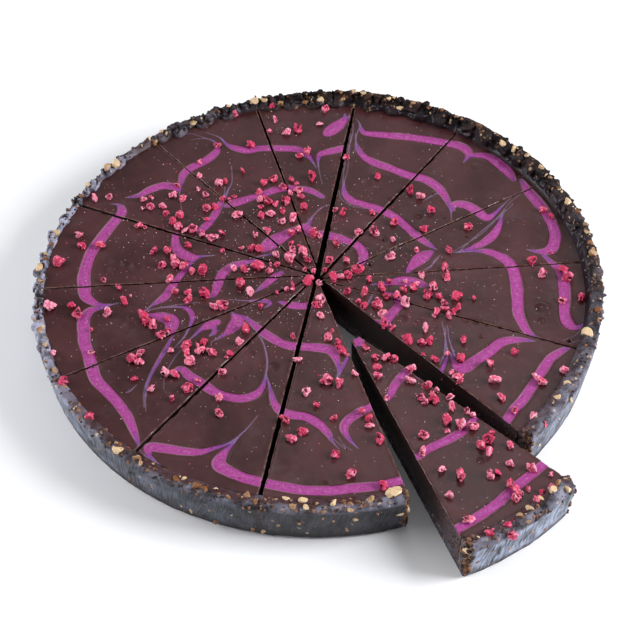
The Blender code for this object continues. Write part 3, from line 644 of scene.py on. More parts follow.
class Wedge:
    """One slice's outline in home mm, read from its CAD filling: its point, its rim arc and its two cuts."""

    def __init__(self, number):
        self.number = number
        home = to_home(vertices_of(frame["nodes"][f"filling_{number:02d}"].data), number)
        top = np.unique(home[home[:, 2] > LEVEL - 0.1][:, :2].round(3), axis=0)
        from_middle = norm(top - INSIDE_SHIFT, axis=1)
        rim = top[from_middle > FILLING_RADIUS - FIT_TOLERANCE]
        tip = top[from_middle <= FILLING_RADIUS - FIT_TOLERANCE]
        if abs(from_middle.max() - FILLING_RADIUS) > FIT_TOLERANCE or not len(tip) or len(rim) < 4:
            raise RuntimeError(f"slice {number} doesn't lie where the CAD puts it")
        out = rim.mean(axis=0) - tip.mean(axis=0)
        left = np.array((-out[1], out[0])) / norm(out)
        self.tip = tip[np.argsort(tip @ left)]
        rim = rim[np.argsort(rim @ left)]
        turns = [math.atan2(*(p - INSIDE_SHIFT)[::-1]) for p in (rim[0], rim[-1])]
        if turns[1] < turns[0]:
            turns[1] += 2 * math.pi
        self.turns = turns
        self.planes, self.ways = [], []
        for inner, outer, side in ((self.tip[0], rim[0], -1), (self.tip[-1], rim[-1], 1)):
            along = (outer - inner) / norm(outer - inner)
            self.planes.append((inner, np.array((-along[1], along[0])) * side))
            self.ways.append(along)

    def across(self, cut):
        """The slice on the other side of a cut."""
        return self.number % len(NUMBERS) + 1 if cut else (self.number - 2) % len(NUMBERS) + 1

    def open(self, cut):
        """Whether a cut's face shows because one of its two slices is drawn out."""
        return DRAWN_SLICE in (self.number, self.across(cut))

    def shut(self, cut, plan):
        """How far the crust closes a cut's gap at plan points: nothing at the middle, most at the rim."""
        if self.open(cut):
            return np.zeros(len(plan))
        gap = norm(self.beside(cut, 3, 0) - Wedge(self.across(cut)).beside(1 - cut, 3, 0))
        return (gap / 2 - CRUST_GAP / 2) * norm(plan - self.planes[cut][0], axis=1) / RIM_RADIUS

    def beyond(self, plan):
        """How far plan points lie outside each of the two cuts, right cut first."""
        return [(plan - start) @ outwards for start, outwards in self.planes]

    def beside(self, cut, inwards, out):
        """A place beside a cut, 0 the right and 1 the left: so far inwards from the wall, so far off it."""
        start, outwards = self.planes[cut]
        along = self.ways[cut]
        end = math.sqrt(RIM_RADIUS**2 - start @ start + (start @ along) ** 2) - start @ along
        return start + along * (end - inwards) + outwards * out

    def arc(self, u, radius):
        turn = self.turns[0] + (self.turns[1] - self.turns[0]) * u
        return INSIDE_SHIFT + radius * np.column_stack((np.cos(turn), np.sin(turn)))

    def point(self, u):
        """A place along the slice's narrow end, from its right cut to its left."""
        steps = norm(np.diff(self.tip, axis=0), axis=1)
        along = np.concatenate(((0.0,), np.cumsum(steps)))
        if along[-1] == 0:
            return np.repeat(self.tip[:1], len(u), axis=0)
        at = u * along[-1]
        return np.column_stack([np.interp(at, along, self.tip[:, axis]) for axis in (0, 1)])


# ---- the filling

# The swirl's maps, in mm: half their width, their cells, how far past a line they tell, and its least width.
FIELD_HALF = 150.0
FIELD_STEP = 0.25
FIELD_REACH = 2.5
FINEST_LINE = 0.42
# Painted shade for the inside of a burst bubble's hole.
BUBBLE_SHADE = "#080303"


def curve_through(points, step):
    """Samples at about a given spacing along a smooth curve through control points of x, y and width."""
    p = np.array(points, float)
    q = np.vstack((2 * p[0] - p[1], p, 2 * p[-1] - p[-2]))
    made = []
    for a, b, c, d in zip(q[:-3], q[1:-2], q[2:-1], q[3:]):
        count = max(2, int(norm((c - b)[:2]) / step) + 1)
        t = np.linspace(0, 1, count, endpoint=False)[:, None]
        made.append(
            0.5 * (2 * b + (c - a) * t + (2 * a - 5 * b + 4 * c - d) * t**2 + (3 * b - a - 3 * c + d) * t**3)
        )
    return np.vstack((*made, p[-1:]))


def paint_swirl():
    """Two plan maps of the swirl: how far inside a line each place is, in mm, and that line's width."""
    cells = int(2 * FIELD_HALF / FIELD_STEP)
    inside = np.full((cells, cells), -FIELD_REACH)
    width = np.zeros((cells, cells))
    for stroke in SWIRL + WISPS:
        for x, y, wide in curve_through(stroke, 0.35):
            shown = max(wide, FINEST_LINE) / 2
            reach = int((shown + FIELD_REACH) / FIELD_STEP) + 1
            i, j = int((x + FIELD_HALF) / FIELD_STEP), int((y + FIELD_HALF) / FIELD_STEP)
            spot = (slice(max(i - reach, 0), i + reach), slice(max(j - reach, 0), j + reach))
            gx = np.arange(spot[0].start, min(spot[0].stop, cells)) * FIELD_STEP - FIELD_HALF
            gy = np.arange(spot[1].start, min(spot[1].stop, cells)) * FIELD_STEP - FIELD_HALF
            depth = shown - np.hypot(gx[:, None] - x, gy[None, :] - y)
            better = depth > inside[spot]
            inside[spot][better] = depth[better]
            width[spot][better] = wide
    return inside, width


def read_map(field, plan):
    """A plan map's value at points, blended between its cells."""
    at = (plan + FIELD_HALF) / FIELD_STEP
    i = np.clip(at.astype(int), 0, len(field) - 2)
    f, g = (at - i).T
    i, j = i.T
    return (
        field[i, j] * (1 - f) * (1 - g) + field[i + 1, j] * f * (1 - g)
        + field[i, j + 1] * (1 - f) * g + field[i + 1, j + 1] * f * g
    )


# In mm: the rows of a cut face's mesh, how far the filling reaches into the crust, the gap left between two
# slices of crust, and how much of its distance from the axis a face leans in, from how far inside the wall.
FACE_LEVELS = (23.6, 23.0, 22.0, 20.6, 19.0, 17.2, 15.4, 13.6, 11.8, 10.0, 8.4, 6.8)
INTO_CRUST = 0.5
CRUST_GAP = -0.9
LEAN_IN = 0.014
LEAN_FROM = 24.0


def stitch(faces, lower, upper):
    """Joins two rows of vertices, each a list of (share along the row, vertex), with triangles."""
    a, b = 0, 0
    while a < len(lower) - 1 or b < len(upper) - 1:
        if b == len(upper) - 1 or (a < len(lower) - 1 and lower[a + 1][0] <= upper[b + 1][0]):
            faces.append((lower[a][1], upper[b][1], lower[a + 1][1]))
            a += 1
        else:
            faces.append((lower[a][1], upper[b][1], upper[b + 1][1]))
            b += 1


def slice_blank(wedge, step):
    """A closed slice of filling with a fine top and fine cut faces: its points, faces and top count."""
    radius = FILLING_RADIUS + INTO_CRUST
    ends = np.array((0.0, 1.0))
    tip_width = norm(np.diff(wedge.point(ends), axis=0))
    arc_width = norm(np.diff(wedge.arc(ends, radius), axis=0))
    start = 0.0 if tip_width > step else step / arc_width
    length = norm(wedge.arc(ends, radius)[0] - wedge.point(ends)[0])
    points, faces, rows = [], [], []
    for t in np.linspace(start, 1, int(length / step)):
        width = tip_width + (arc_width - tip_width) * t
        u = np.linspace(0, 1, max(1, round(width / step)) + 1)
        row = wedge.point(u) * (1 - t) + wedge.arc(u, radius) * t
        rows.append([(share, len(points) + k) for k, share in enumerate(u)])
        points.extend((x, y, LEVEL) for x, y in row)
    for lower, upper in zip(rows, rows[1:]):
        stitch(faces, lower, upper)
    ring = [row[0][1] for row in rows]
    ring += [v for _, v in rows[-1][1:]]
    ring += [row[-1][1] for row in rows[-2::-1]]
    ring += [v for _, v in rows[0][-2:0:-1]]
    top = len(points)
    rim = np.array([points[v][:2] for v in ring])
    above = ring
    from_middle = norm(rim - INSIDE_SHIFT, axis=1)
    leaning = smooth(from_middle, radius - LEAN_FROM, radius)[:, None]
    for level in FACE_LEVELS:
        pull = LEAN_IN * (LEVEL - level) / (LEVEL - FACE_LEVELS[-1])
        lower = list(range(len(points), len(points) + len(ring)))
        points.extend((x, y, level) for x, y in rim + (INSIDE_SHIFT - rim) * pull * leaning)
        for k in range(len(ring)):
            n = (k + 1) % len(ring)
            faces.append((above[k], above[n], lower[n], lower[k]))
        above = lower
    faces.append(tuple(above))
    return np.array(points), faces, top


def edge_distance(wedge, plan):
    """How far each plan point lies inside the nearer of the slice's two cuts."""
    right, left = wedge.beyond(plan)
    return np.minimum(-right, -left)


def top_relief(plan, swirl, width, edge, wave_height, swirl_depth):
    """The height added to the level top: swells, the sunk swirl, rubbed edges, bubbles and dimples."""
    x, y = plan.T
    lift = wave_height * ripple(x, y, 26, 1) + 0.35 * wave_height * ripple(x, y, 9, 2)
    lift += 0.1 * wave_height * ripple(x, y, 2.4, 3)
    share = np.clip(width / 2.5, 0.15, 1)
    lift -= swirl_depth * share * smooth(swirl, -0.35, 0.35)
    lift += 0.45 * swirl_depth * share * smooth(swirl, 0.5, 2.2)
    lift += 0.35 * swirl_depth * share * np.exp(-(((swirl + 0.7) / 0.35) ** 2))
    uneven = 0.6 + 0.4 * ripple(x, y, 3.2, 4)
    lift += 0.16 * uneven * np.exp(-(((edge - 0.75) / 0.4) ** 2)) - 0.22 * np.exp(-((edge / 0.3) ** 2))
    pit = np.zeros(len(plan))
    for px, py, radius, depth in PITS:
        gone = np.clip(1 - ((x - px) ** 2 + (y - py) ** 2) / radius**2, 0, 1)
        ring = np.exp(-(((np.hypot(x - px, y - py) - 1.15 * radius) / (0.3 * radius)) ** 2))
        lift += -depth * gone**1.5 + 0.12 * min(depth, 0.6) * ring
        # Painted shade: darkens the deeper holes towards their middles.
        pit = np.maximum(pit, (gone > 0) * gone * min(1.0, max(depth - 0.45, 0)))
    return lift, pit


def face_relief(along, height, seed):
    """How far a knife-cut face stands out or in: drag waves, fine tearing and a chipped upper edge."""
    made = 0.12 * ripple(along, height, 11, seed) + 0.05 * ripple(along, height, 2.6, seed + 1)
    chips = np.clip(ripple(along, 0 * height, 2.4, seed + 2) - 0.45, 0, 1)
    return made - 0.9 * chips * np.exp(-(LEVEL - height) / 0.8)


def make_filling_slice(number, maps, finish):
    _, sizes, _ = chosen()
    wedge = Wedge(number)
    points, faces, top = slice_blank(wedge, sizes.top_step / MM)
    plan = points[:, :2]
    swirl, width = read_map(maps[0], plan), read_map(maps[1], plan)
    edge = edge_distance(wedge, plan)
    on_top = np.arange(len(points)) < top
    lift, pit = top_relief(plan, swirl, width, edge, sizes.wave_height / MM, sizes.swirl_depth / MM)
    points[on_top, 2] += lift[on_top]
    for (start, outwards), seed in zip(wedge.planes, (20 + number, 60 + number)):
        offset = np.abs((plan - start) @ outwards)
        reach = norm(plan - start, axis=1)
        relief = face_relief(reach, points[:, 2], seed) * np.clip(1 - offset / 0.6, 0, 1)
        points[:, :2] += relief[:, None] * outwards * smooth(reach, 0, 6)[:, None]
    mesh = bpy.data.meshes.new(f"ganache_slice_{number:02d}")
    mesh.from_pydata(points, [], faces)
    bm = bmesh.new()
    bm.from_mesh(mesh)
    bmesh.ops.recalc_face_normals(bm, faces=bm.faces)
    bm.to_mesh(mesh)
    bm.free()
    store(mesh, "home", np.column_stack((plan, points[:, 2])))
    store(mesh, "swirl", np.where(on_top, swirl, -FIELD_REACH))
    store(mesh, "line", width)
    store(mesh, "edge", edge)
    store(mesh, "face", 1.0 - on_top)
    store(mesh, "pit", pit * on_top)
    store(mesh, "near_rim", smooth(norm(plan, axis=1) - 0.6 * points[:, 2], 82, 122))
    write_vertices(mesh, to_row(points, number))
    mesh.shade_smooth()
    mesh.set_sharp_from_angle(angle=math.radians(55))
    mesh.materials.append(finish)
    made = new_object(mesh.name, mesh)
    return finish_piece(made, [f"filling_{number:02d}"])


def ganache():
    """Poured dark chocolate ganache, set and skewer-dragged: a satin top and duller, streaked cut faces."""
    colours, _, _ = chosen()
    material, add, shader = new_finish("poured_dark_chocolate")
    home = add("Attribute", attribute_name="home").outputs["Vector"]
    swirl, line, edge, face, pit, near_rim = (
        add("Attribute", attribute_name=name).outputs["Fac"]
        for name in ("swirl", "line", "edge", "face", "pit", "near_rim")
    )
    # Cloudy tone, 30 mm across, with a finer mottle of 4 mm.
    cloud = add("TexNoise", home, 1 / 30, 4, 0.62)
    tone = add("MapRange", cloud, 0.35, 0.66)
    brown = add("Blend", tone, colours.chocolate, colours.chocolate_pale)
    # Rubbed greyish smudges about 14 mm across.
    rub = add("TexNoise", home, 1 / 14, 5, 0.7)
    rub = add("MapRange", rub, 0.56, 0.74, 0, 0.35)
    brown = add("Blend", rub, brown, colours.haze)
    # Dust specks up to 0.7 mm across, in about a fifth of the 2.3 mm cells.
    flecks = add("TexVoronoi", home, 1 / 2.3)
    chance = add("Over", flecks.outputs["Color"], 0.72)
    small = add("MapRange", flecks.outputs["Distance"], 0.16, 0.07, interpolation_type="SMOOTHSTEP")
    fleck = add("Times", chance, small)
    fleck = add("Times", fleck, 0.42)
    dusted = add("Blend", fleck, brown, colours.dust)
    # The swirl: magenta where broad, purple in its tails, lilac in scratches, with half-millimetre grain.
    grain = add("TexNoise", home, 1 / 0.55, 3, 0.7)
    broad = add("MapRange", line, 0.9, 3.4)
    tail = add("MapRange", line, 0.35, 1.3)
    thin = add("Blend", tail, colours.wisp, colours.swirl_tail)
    pink = add("Blend", broad, thin, colours.swirl)
    bright = add("MapRange", grain, 0.25, 0.75, 0.58, 1.38)
    toned = add("HueSaturation", {"Color": pink, "Value": bright})
    # Berry dust soaks in as darker rose dots, 0.7 mm or so, in nearly half of the 1.4 mm cells.
    dots = add("TexVoronoi", home, 1 / 1.4)
    dot = add("MapRange", dots.outputs["Distance"], 0.34, 0.18, 0, 0.6)
    rare = add("Over", dots.outputs["Color"], 0.52)
    dot = add("Times", dot, rare)
    toned = add("Blend", dot, toned, colours.berry_deep_and_shade)
    # Paler foam grains, about a millimetre, gather in the middle of a broad band.
    foam = add("TexNoise", home, 1 / 1.6, 4, 0.75)
    foamy = add("MapRange", foam, 0.5, 0.75, 0, 0.75)
    middle = add("MapRange", swirl, 0.1, 1.6)
    foamy = add("Times", foamy, middle)
    grained = add("Blend", foamy, toned, colours.swirl_light)
    wobble = add("TimesPlus", grain, 0.3, swirl)
    inside = add("MapRange", wobble, -0.12, 0.32, interpolation_type="SMOOTHSTEP")
    strength = add("MapRange", line, 0.2, 1.3, 0.4, 1)
    covered = add("Times", inside, strength)
    marked = add("Blend", covered, dusted, grained)
    # A thin pale border round the swirl's broad lines, stronger on some stretches than others:
    # partly a real pale edge, partly a painted highlight on the rim of the sunk swirl.
    border = add("MapRange", wobble, -0.5, -0.05)
    behind = add("MapRange", wobble, 0.45, 0.1)
    rim = add("Times", border, behind)
    some = add("TexNoise", home, 1 / 16, 2)
    some = add("MapRange", some, 0.42, 0.58, 0, 0.36)
    rim = add("Times", rim, some)
    poured = add("MapRange", line, 0.8, 2.2)
    rim = add("Times", rim, poured)
    marked = add("Blend", rim, marked, colours.swirl_edge_and_highlight)
    # The rubbed edge along each cut, under half a millimetre wide and broken up.
    broken = add("TexNoise", home, 1 / 3.5, 3)
    rubbed = add("MapRange", edge, 0.55, 0.1)
    worn = add("MapRange", broken, 0.4, 0.6, 0.1, 0.7)
    burr = add("Times", rubbed, worn)
    edged = add("Blend", burr, marked, colours.burr)
    # Cut faces: darker, with long faint drag lines from the knife.
    drawn = add("Mapping", {"Vector": home, "Scale": (0.05, 0.05, 0.9)})
    drag = add("TexNoise", drawn, 1, 5, 0.7)
    dragged = add("MapRange", drag, 0.4, 0.75)
    cut = add("Blend", dragged, colours.chocolate_cut, colours.chocolate)
    # Partly crumb dust the knife dragged back from the crust, partly painted light where each cut face opens
    # towards the rim: together they dull the last 35 mm of each cut face paler.
    rim_dust_and_light = add("Times", dragged, near_rim)
    rim_dust_and_light = add("TimesPlus", near_rim, 0.25, rim_dust_and_light)
    cut = add("Blend", rim_dust_and_light, cut, colours.haze)
    faced = add("Blend", face, edged, cut)
    # Painted shade inside the deeper bubble holes.
    dark = add("Blend", pit, faced, linear(BUBBLE_SHADE))
    rough = add("MapRange", cloud, 0.3, 0.7, 0.21, 0.32)
    matt = add("TimesPlus", covered, 0.12, rough)
    slick = add("MapRange", drag, 0.35, 0.7, 0.3, 0.6)
    sheen = add("Mix", face, matt, slick)
    # Skin of the set ganache: a faint 0.8 mm pebble, and the knife's drag on the cut faces.
    skin = add("TexNoise", home, 1 / 0.8, 2)
    relief = add("Mix", face, skin, drag)
    bump = add("Bump", {"Strength": 0.25, "Distance": 0.0001, "Height": relief})
    feed(shader, {"Base Color": dark, "Roughness": sheen, "Normal": bump, "IOR": 1.5,
                  "Specular IOR Level": 0.42})
    return material


class TART_OT_filling(bpy.types.Operator):
    """Pours the filling, drags the swirl through it and cuts it into fourteen slices"""

    bl_idname = "tart.filling"
    bl_label = "Filling"

    def execute(self, context):
        maps = paint_swirl()
        finish = ganache()
        for number in NUMBERS:
            make_filling_slice(number, maps, finish)
        return {"FINISHED"}


# ---- the crust


# In mm: what stands higher than the first is pressed down, and how deeply the knife tore the crust at a
# closed cut, at an open one and at an open one's outer corner.
TALLEST = 32.0
CLOSED_TEAR = 0.14
OPEN_TEAR = 0.22
CORNER_TEAR = 1.8
# The colour of the band that the filling wetted.
WETTED = "#231a20"


def wall_radius(height):
    return FOOT_RADIUS + (RIM_RADIUS - FOOT_RADIUS) * np.clip(height / LEVEL, 0, 1.2)


def around(points):
    """Each point's angle round the tart in degrees from 0 to 360, and its distance from the axis."""
    return np.degrees(np.arctan2(points[:, 1], points[:, 0])) % 360, np.hypot(points[:, 0], points[:, 1])


def character(angle, column):
    """One of the columns of RIM_CHARACTER at an angle in degrees."""
    table = np.array(RIM_CHARACTER)
    return np.interp(angle, table[:, 0], table[:, column])


def band_share(angle):
    """How plainly the smooth band shows at an angle in degrees."""
    return np.interp(angle, *np.array(SMOOTH_BAND).T)


def press_tree():
    """Sets lumps of crumbs into the rim: spheres of random size on the faces above the filling."""
    tree, add, source = new_tree("press_lumps", (
        ("Spacing", "Float", 2.6), ("Smallest", "Float", 1.0), ("Largest", "Float", 2.5),
        ("Seed", "Int", 1), ("Material", "Material", None),
    ))
    make = add("NamedNumber", "lump")
    above = add("FunctionNodeCompare", make, 0.12, operation="GREATER_THAN")
    geometry, spacing, small, large, seed, finish = list(source.outputs)[:6]
    spots = add("GeometryNodeDistributePointsOnFaces", {
        "Mesh": geometry, "Selection": above, "Distance Min": spacing, "Density Max": 0.6, "Seed": seed,
    }, distribute_method="POISSON")
    size = add("FunctionNodeRandomValue", {"Min": small, "Max": large, "Seed": seed})
    scaled = add("Times", size, make)
    squat = add("FunctionNodeRandomValue", (0.75, 0.75, 0.55), (1.35, 1.35, 0.95), data_type="FLOAT_VECTOR")
    extent = add("Scaled", squat, scaled)
    turn = add("FunctionNodeRandomValue", (-0.5, -0.5, 0.0), (0.5, 0.5, 6.28), data_type="FLOAT_VECTOR")
    cube = add("GeometryNodeMeshCube", (1.5, 1.5, 1.5), 3, 3, 3)
    ball = add("GeometryNodeSubdivisionSurface", {"Mesh": cube, "Level": 1})
    lumps = add("GeometryNodeInstanceOnPoints",
                {"Points": spots, "Instance": ball, "Rotation": turn, "Scale": extent})
    both = add("GeometryNodeJoinGeometry", geometry)
    feed(both, lumps)
    real = add("GeometryNodeRealizeInstances", both)
    coated = add("GeometryNodeSetMaterial", {"Geometry": real, "Material": finish})
    add("NodeGroupOutput", coated)
    return tree


def crumble_tree():
    """Roughens a slice of crust along its normals where it is broken, with upright cracks inside the rim."""
    tree, add, source = new_tree("crumble_surface", (
        ("Roughness Height", "Float", 1.1), ("Crumb Height", "Float", 0.4), ("Crack Depth", "Float", 1.3),
        ("Material", "Material", None),
    ))
    geometry, clod_height, crumb_height, crack_depth, finish = list(source.outputs)[:5]
    place = add("GeometryNodeInputPosition")
    rough, crack = (add("NamedNumber", name) for name in ("rough", "crack"))
    wrap = add("NamedVector", "wrap")
    # Packed clods with creases between them, 6.2 mm and 2.3 mm across, on a swell of 9 mm.
    bent = add("TexNoise", place, 1 / 2.6, 2)
    bent = add("VectorMath", bent.outputs["Color"], (-0.5, -0.5, -0.5))
    bent = add("Scaled", bent, 2.4)
    bent = add("VectorMath", place, bent)
    raised = None
    for size, height in ((6.2, clod_height), (2.3, crumb_height)):
        clods = add("TexVoronoi", bent, 1 / size)
        centred = add("Plus", clods.outputs["Distance"], -0.42)
        level = add("Times", centred, height)
        level = add("Times", level, -2.2)
        raised = level if raised is None else add("Plus", raised, level)
    swell = add("TexNoise", place, 1 / 9, 1)
    swell = add("Plus", swell, -0.5)
    raised = add("TimesPlus", swell, 1.6, raised)
    grit = add("Times", raised, rough)
    # Cracks stand upright: cells about 9 mm round the rim, tall, and as deep as the wall.
    tall = add("VectorMath", wrap, (1 / 9, 1 / 26, 1 / 14), operation="MULTIPLY")
    cells = add("TexVoronoi", tall, 1, feature="DISTANCE_TO_EDGE")
    gap = add("MapRange", cells, 0.1, 0.015, 0, 1, interpolation_type="SMOOTHSTEP")
    split = add("Times", gap, crack)
    cut = add("Times", split, crack_depth)
    total = add("Math", grit, cut, operation="SUBTRACT")
    normal = add("GeometryNodeInputNormal")
    offset = add("Scaled", normal, total)
    kept = add("GeometryNodeStoreNamedAttribute", {"Geometry": geometry, "Name": "raised", "Value": total},
               data_type="FLOAT", domain="POINT")
    moved = add("GeometryNodeSetPosition", {"Geometry": kept, "Offset": offset})
    ready = add("GeometryNodeRealizeInstances", moved)
    coated = add("GeometryNodeSetMaterial", {"Geometry": ready, "Material": finish})
    add("NodeGroupOutput", coated)
    return tree


def crust_body(number):
    """The slice's CAD crust in home mm with its doubles merged, and the rim's big lumps beside it."""
    cad = frame["nodes"][f"crust_{number:02d}"].data
    mesh = bpy.data.meshes.new("crust_body")
    bm = bmesh.new()
    bm.from_mesh(cad)
    bmesh.ops.remove_doubles(bm, verts=bm.verts, dist=0.00001)
    for vertex, place in zip(bm.verts, to_home([v.co for v in bm.verts], number)):
        vertex.co = place
    wedge = Wedge(number)
    for cut, (start, outwards) in enumerate(wedge.planes):
        plan = np.array([v.co[:2] for v in bm.verts])
        on_cut = np.abs((plan - start) @ outwards) < 0.1
        for vertex, share, moves in zip(bm.verts, wedge.shut(cut, plan), on_cut):
            if moves:
                vertex.co += Vector((*(outwards * share), 0))
    tree = BVHTree.FromBMesh(bm)
    for degrees, across, rise, size in RIM_KNOBS:
        turn = math.radians(degrees)
        out = FILLING_RADIUS + (RIM_RADIUS - FILLING_RADIUS) * across
        spot = np.array((out * math.cos(turn), out * math.sin(turn)))
        if max(wedge.beyond(spot)) > 0:
            continue
        hit = tree.ray_cast(Vector((*spot, DROPPED_FROM)), -UP)[0]
        top = hit.z if hit else LEVEL
        block = bmesh.ops.create_icosphere(bm, subdivisions=4, radius=1)["verts"]
        for vertex in block:
            vertex.co /= sum(abs(c) ** 3 for c in vertex.co) ** (1 / 3)
        lean = Matrix.Rotation(0.5 * math.sin(degrees * 2.7), 4, "Y")
        lean = lean @ Matrix.Rotation(0.5 * math.sin(degrees), 4, "Z")
        shape = Matrix.Translation((*spot, top + rise - 0.45 * size)) @ Matrix.Rotation(turn, 4, "Z") @ lean
        shape = shape @ Matrix.Diagonal((0.5 * size, 0.78 * size, 0.5 * size, 1))
        bmesh.ops.transform(bm, matrix=shape, verts=block)
    bm.to_mesh(mesh)
    bm.free()
    mesh.materials.clear()
    points = vertices_of(mesh)
    angle, radius = around(points)
    lumpy = (points[:, 2] > LEVEL + 0.6) & ((band_share(angle) < 0.5) | (radius > RIM_RADIUS - 3.4))
    store(mesh, "lump", character(angle, 1) * lumpy)
    return wedge, mesh


def hold_to_cuts(points, wedge, seed):
    """Pulls what stands past a cut back to it: finely torn where it is closed, deeply where it is open."""
    for cut, (start, outwards) in enumerate(wedge.planes):
        past = (points[:, :2] - start) @ outwards - wedge.shut(cut, points[:, :2])
        along = (points[:, :2] - start) @ np.array((-outwards[1], outwards[0]))
        depth = CLOSED_TEAR
        if wedge.open(cut):
            corner = norm(points[:, :2], axis=1) + 1.2 * ripple(along, points[:, 2], 4, seed + 5)
            depth = OPEN_TEAR + CORNER_TEAR * smooth(corner, 134, 139)
        torn = 0.7 * ripple(along, points[:, 2], 2.6, seed + cut)
        torn = torn + 0.3 * ripple(along, points[:, 2], 1.3, seed + 9)
        torn = depth * (torn - 1)
        over = past - torn
        over = np.where(over > 0, over, 0)
        points[:, :2] -= over[:, None] * outwards
        points[:, 2] -= np.where(points[:, 2] > LEVEL + 1, np.minimum(np.maximum(over - 0.3, 0), 2.5), 0)
    return points


def crust_zones(points, wedge):
    """Masks for each vertex: how rough, how cracked, how wall-like, how glossy and how near a cut."""
    angle, radius = around(points)
    height = points[:, 2]
    beyond = wedge.beyond(points[:, :2])
    near_cut = np.clip(1 + np.maximum(*beyond) / 0.9, 0, 1)
    ends = [np.clip(1.7 + far / 2.4, 0, 1) * wedge.open(cut) for cut, far in enumerate(beyond)]
    end = np.maximum(*ends)
    outer = smooth(radius, wall_radius(height) - 1.3, wall_radius(height) - 0.5)
    outer = outer * (1 - smooth(height, LEVEL - 2.2, LEVEL - 0.2)) * smooth(height, 0.8, 2.6)
    outer = outer * (1 - 0.8 * end)
    from_inside = norm(points[:, :2] - INSIDE_SHIFT, axis=1)
    rise = character(angle, 1)
    band = smooth(from_inside, 131.5, 132.5) * (1 - smooth(from_inside, 135.2, 136.2))
    band = band * (1 - smooth(height, LEVEL + 3.4, LEVEL + 4.2)) * band_share(angle)
    hidden = (1 - smooth(from_inside, 131.2, 132.4)) * (1 - near_cut)
    flat = (1 - smooth(height, 0.15, 0.6)) * (1 - smooth(radius, FOOT_RADIUS - 3, FOOT_RADIUS - 1))
    loose = 0.35 + 0.65 * rise
    smear = smooth(height, LEVEL - 0.8, LEVEL) * (1 - smooth(height, LEVEL + 3.5, LEVEL + 5))
    smear = smear * (1 - smooth(from_inside + 1.3 * ripple(angle * 2.4, height, 3, 7), 138.0, 139.8))
    smear = smear * character(angle, 4) * (1 - near_cut)
    rough = loose * (1 - 0.93 * outer) * (1 - band) * (1 - hidden) * (1 - flat)
    rough = rough * (1 - 0.75 * near_cut * (1 - end)) * (1 - 0.85 * smear)
    inner_rim = smooth(height, LEVEL + 1.2, LEVEL + 2.6) * (1 - smooth(from_inside, 137, 139.5))
    crack = inner_rim * smooth(character(angle, 1), 0.6, 0.85)
    arc = np.radians(angle) * RIM_RADIUS
    return {
        "rough": rough, "crack": crack, "outer": outer, "band": band, "near_cut": near_cut,
        "wrap": np.column_stack((arc, height, radius)),
        # bloom is the film's share round the tart, partly painted light.
        "bloom": character(angle, 2), "tan": character(angle, 3),
        # slate is painted light and shade on the moulded wall, palest where it faces the key and fill lights.
        "smear": smear, "slate": character(angle, 5), "end": end,
    }


def clear_hidden(mesh):
    """Makes the flat faces under the filling and under the base one face each."""
    bm = bmesh.new()
    bm.from_mesh(mesh)
    for level, up in ((BASE_TOP, 1), (0.0, -1)):
        facing = [face for face in bm.faces if face.normal.z * up > 0.999]
        flat = [face for face in facing if abs(face.calc_center_median().z - level) < 0.06]
        bmesh.ops.dissolve_faces(bm, faces=flat, use_verts=True)
    bm.to_mesh(mesh)
    bm.free()


def make_crust_slice(number, trees, finish):
    _, sizes, _ = chosen()
    wedge, mesh = crust_body(number)
    body = new_object("crust_body", mesh)
    add_modifier(body, trees[0], {
        "Spacing": sizes.lump_spacing / MM, "Smallest": sizes.lump_small / MM,
        "Largest": sizes.lump_large / MM, "Seed": number, "Material": finish,
    })
    remesh = body.modifiers.new("knit", "REMESH")
    remesh.mode = "VOXEL"
    remesh.voxel_size = sizes.crust_step / MM
    knit = as_plain(body, "crust_knit")
    points = hold_to_cuts(vertices_of(knit), wedge, 100 + number)
    write_vertices(knit, points)
    for name, values in crust_zones(points, wedge).items():
        store(knit, name, values)
    body = new_object("crust_knit", knit)
    add_modifier(body, trees[1], {
        "Roughness Height": sizes.rough_height / MM, "Crumb Height": sizes.crumb_height / MM,
        "Crack Depth": sizes.crack_depth / MM, "Material": finish,
    })
    mesh = as_plain(body, f"nut_crust_{number:02d}")
    points = hold_to_cuts(vertices_of(mesh), wedge, 100 + number)
    points[:, 2] = np.maximum(points[:, 2], 0)
    points[:, 2] -= 0.55 * np.maximum(points[:, 2] - TALLEST, 0)
    write_vertices(mesh, points)
    store(mesh, "home", points)
    clear_hidden(mesh)
    write_vertices(mesh, to_row(vertices_of(mesh), number))
    mesh.shade_smooth()
    made = new_object(mesh.name, mesh)
    return finish_piece(made, [f"crust_{number:02d}"])


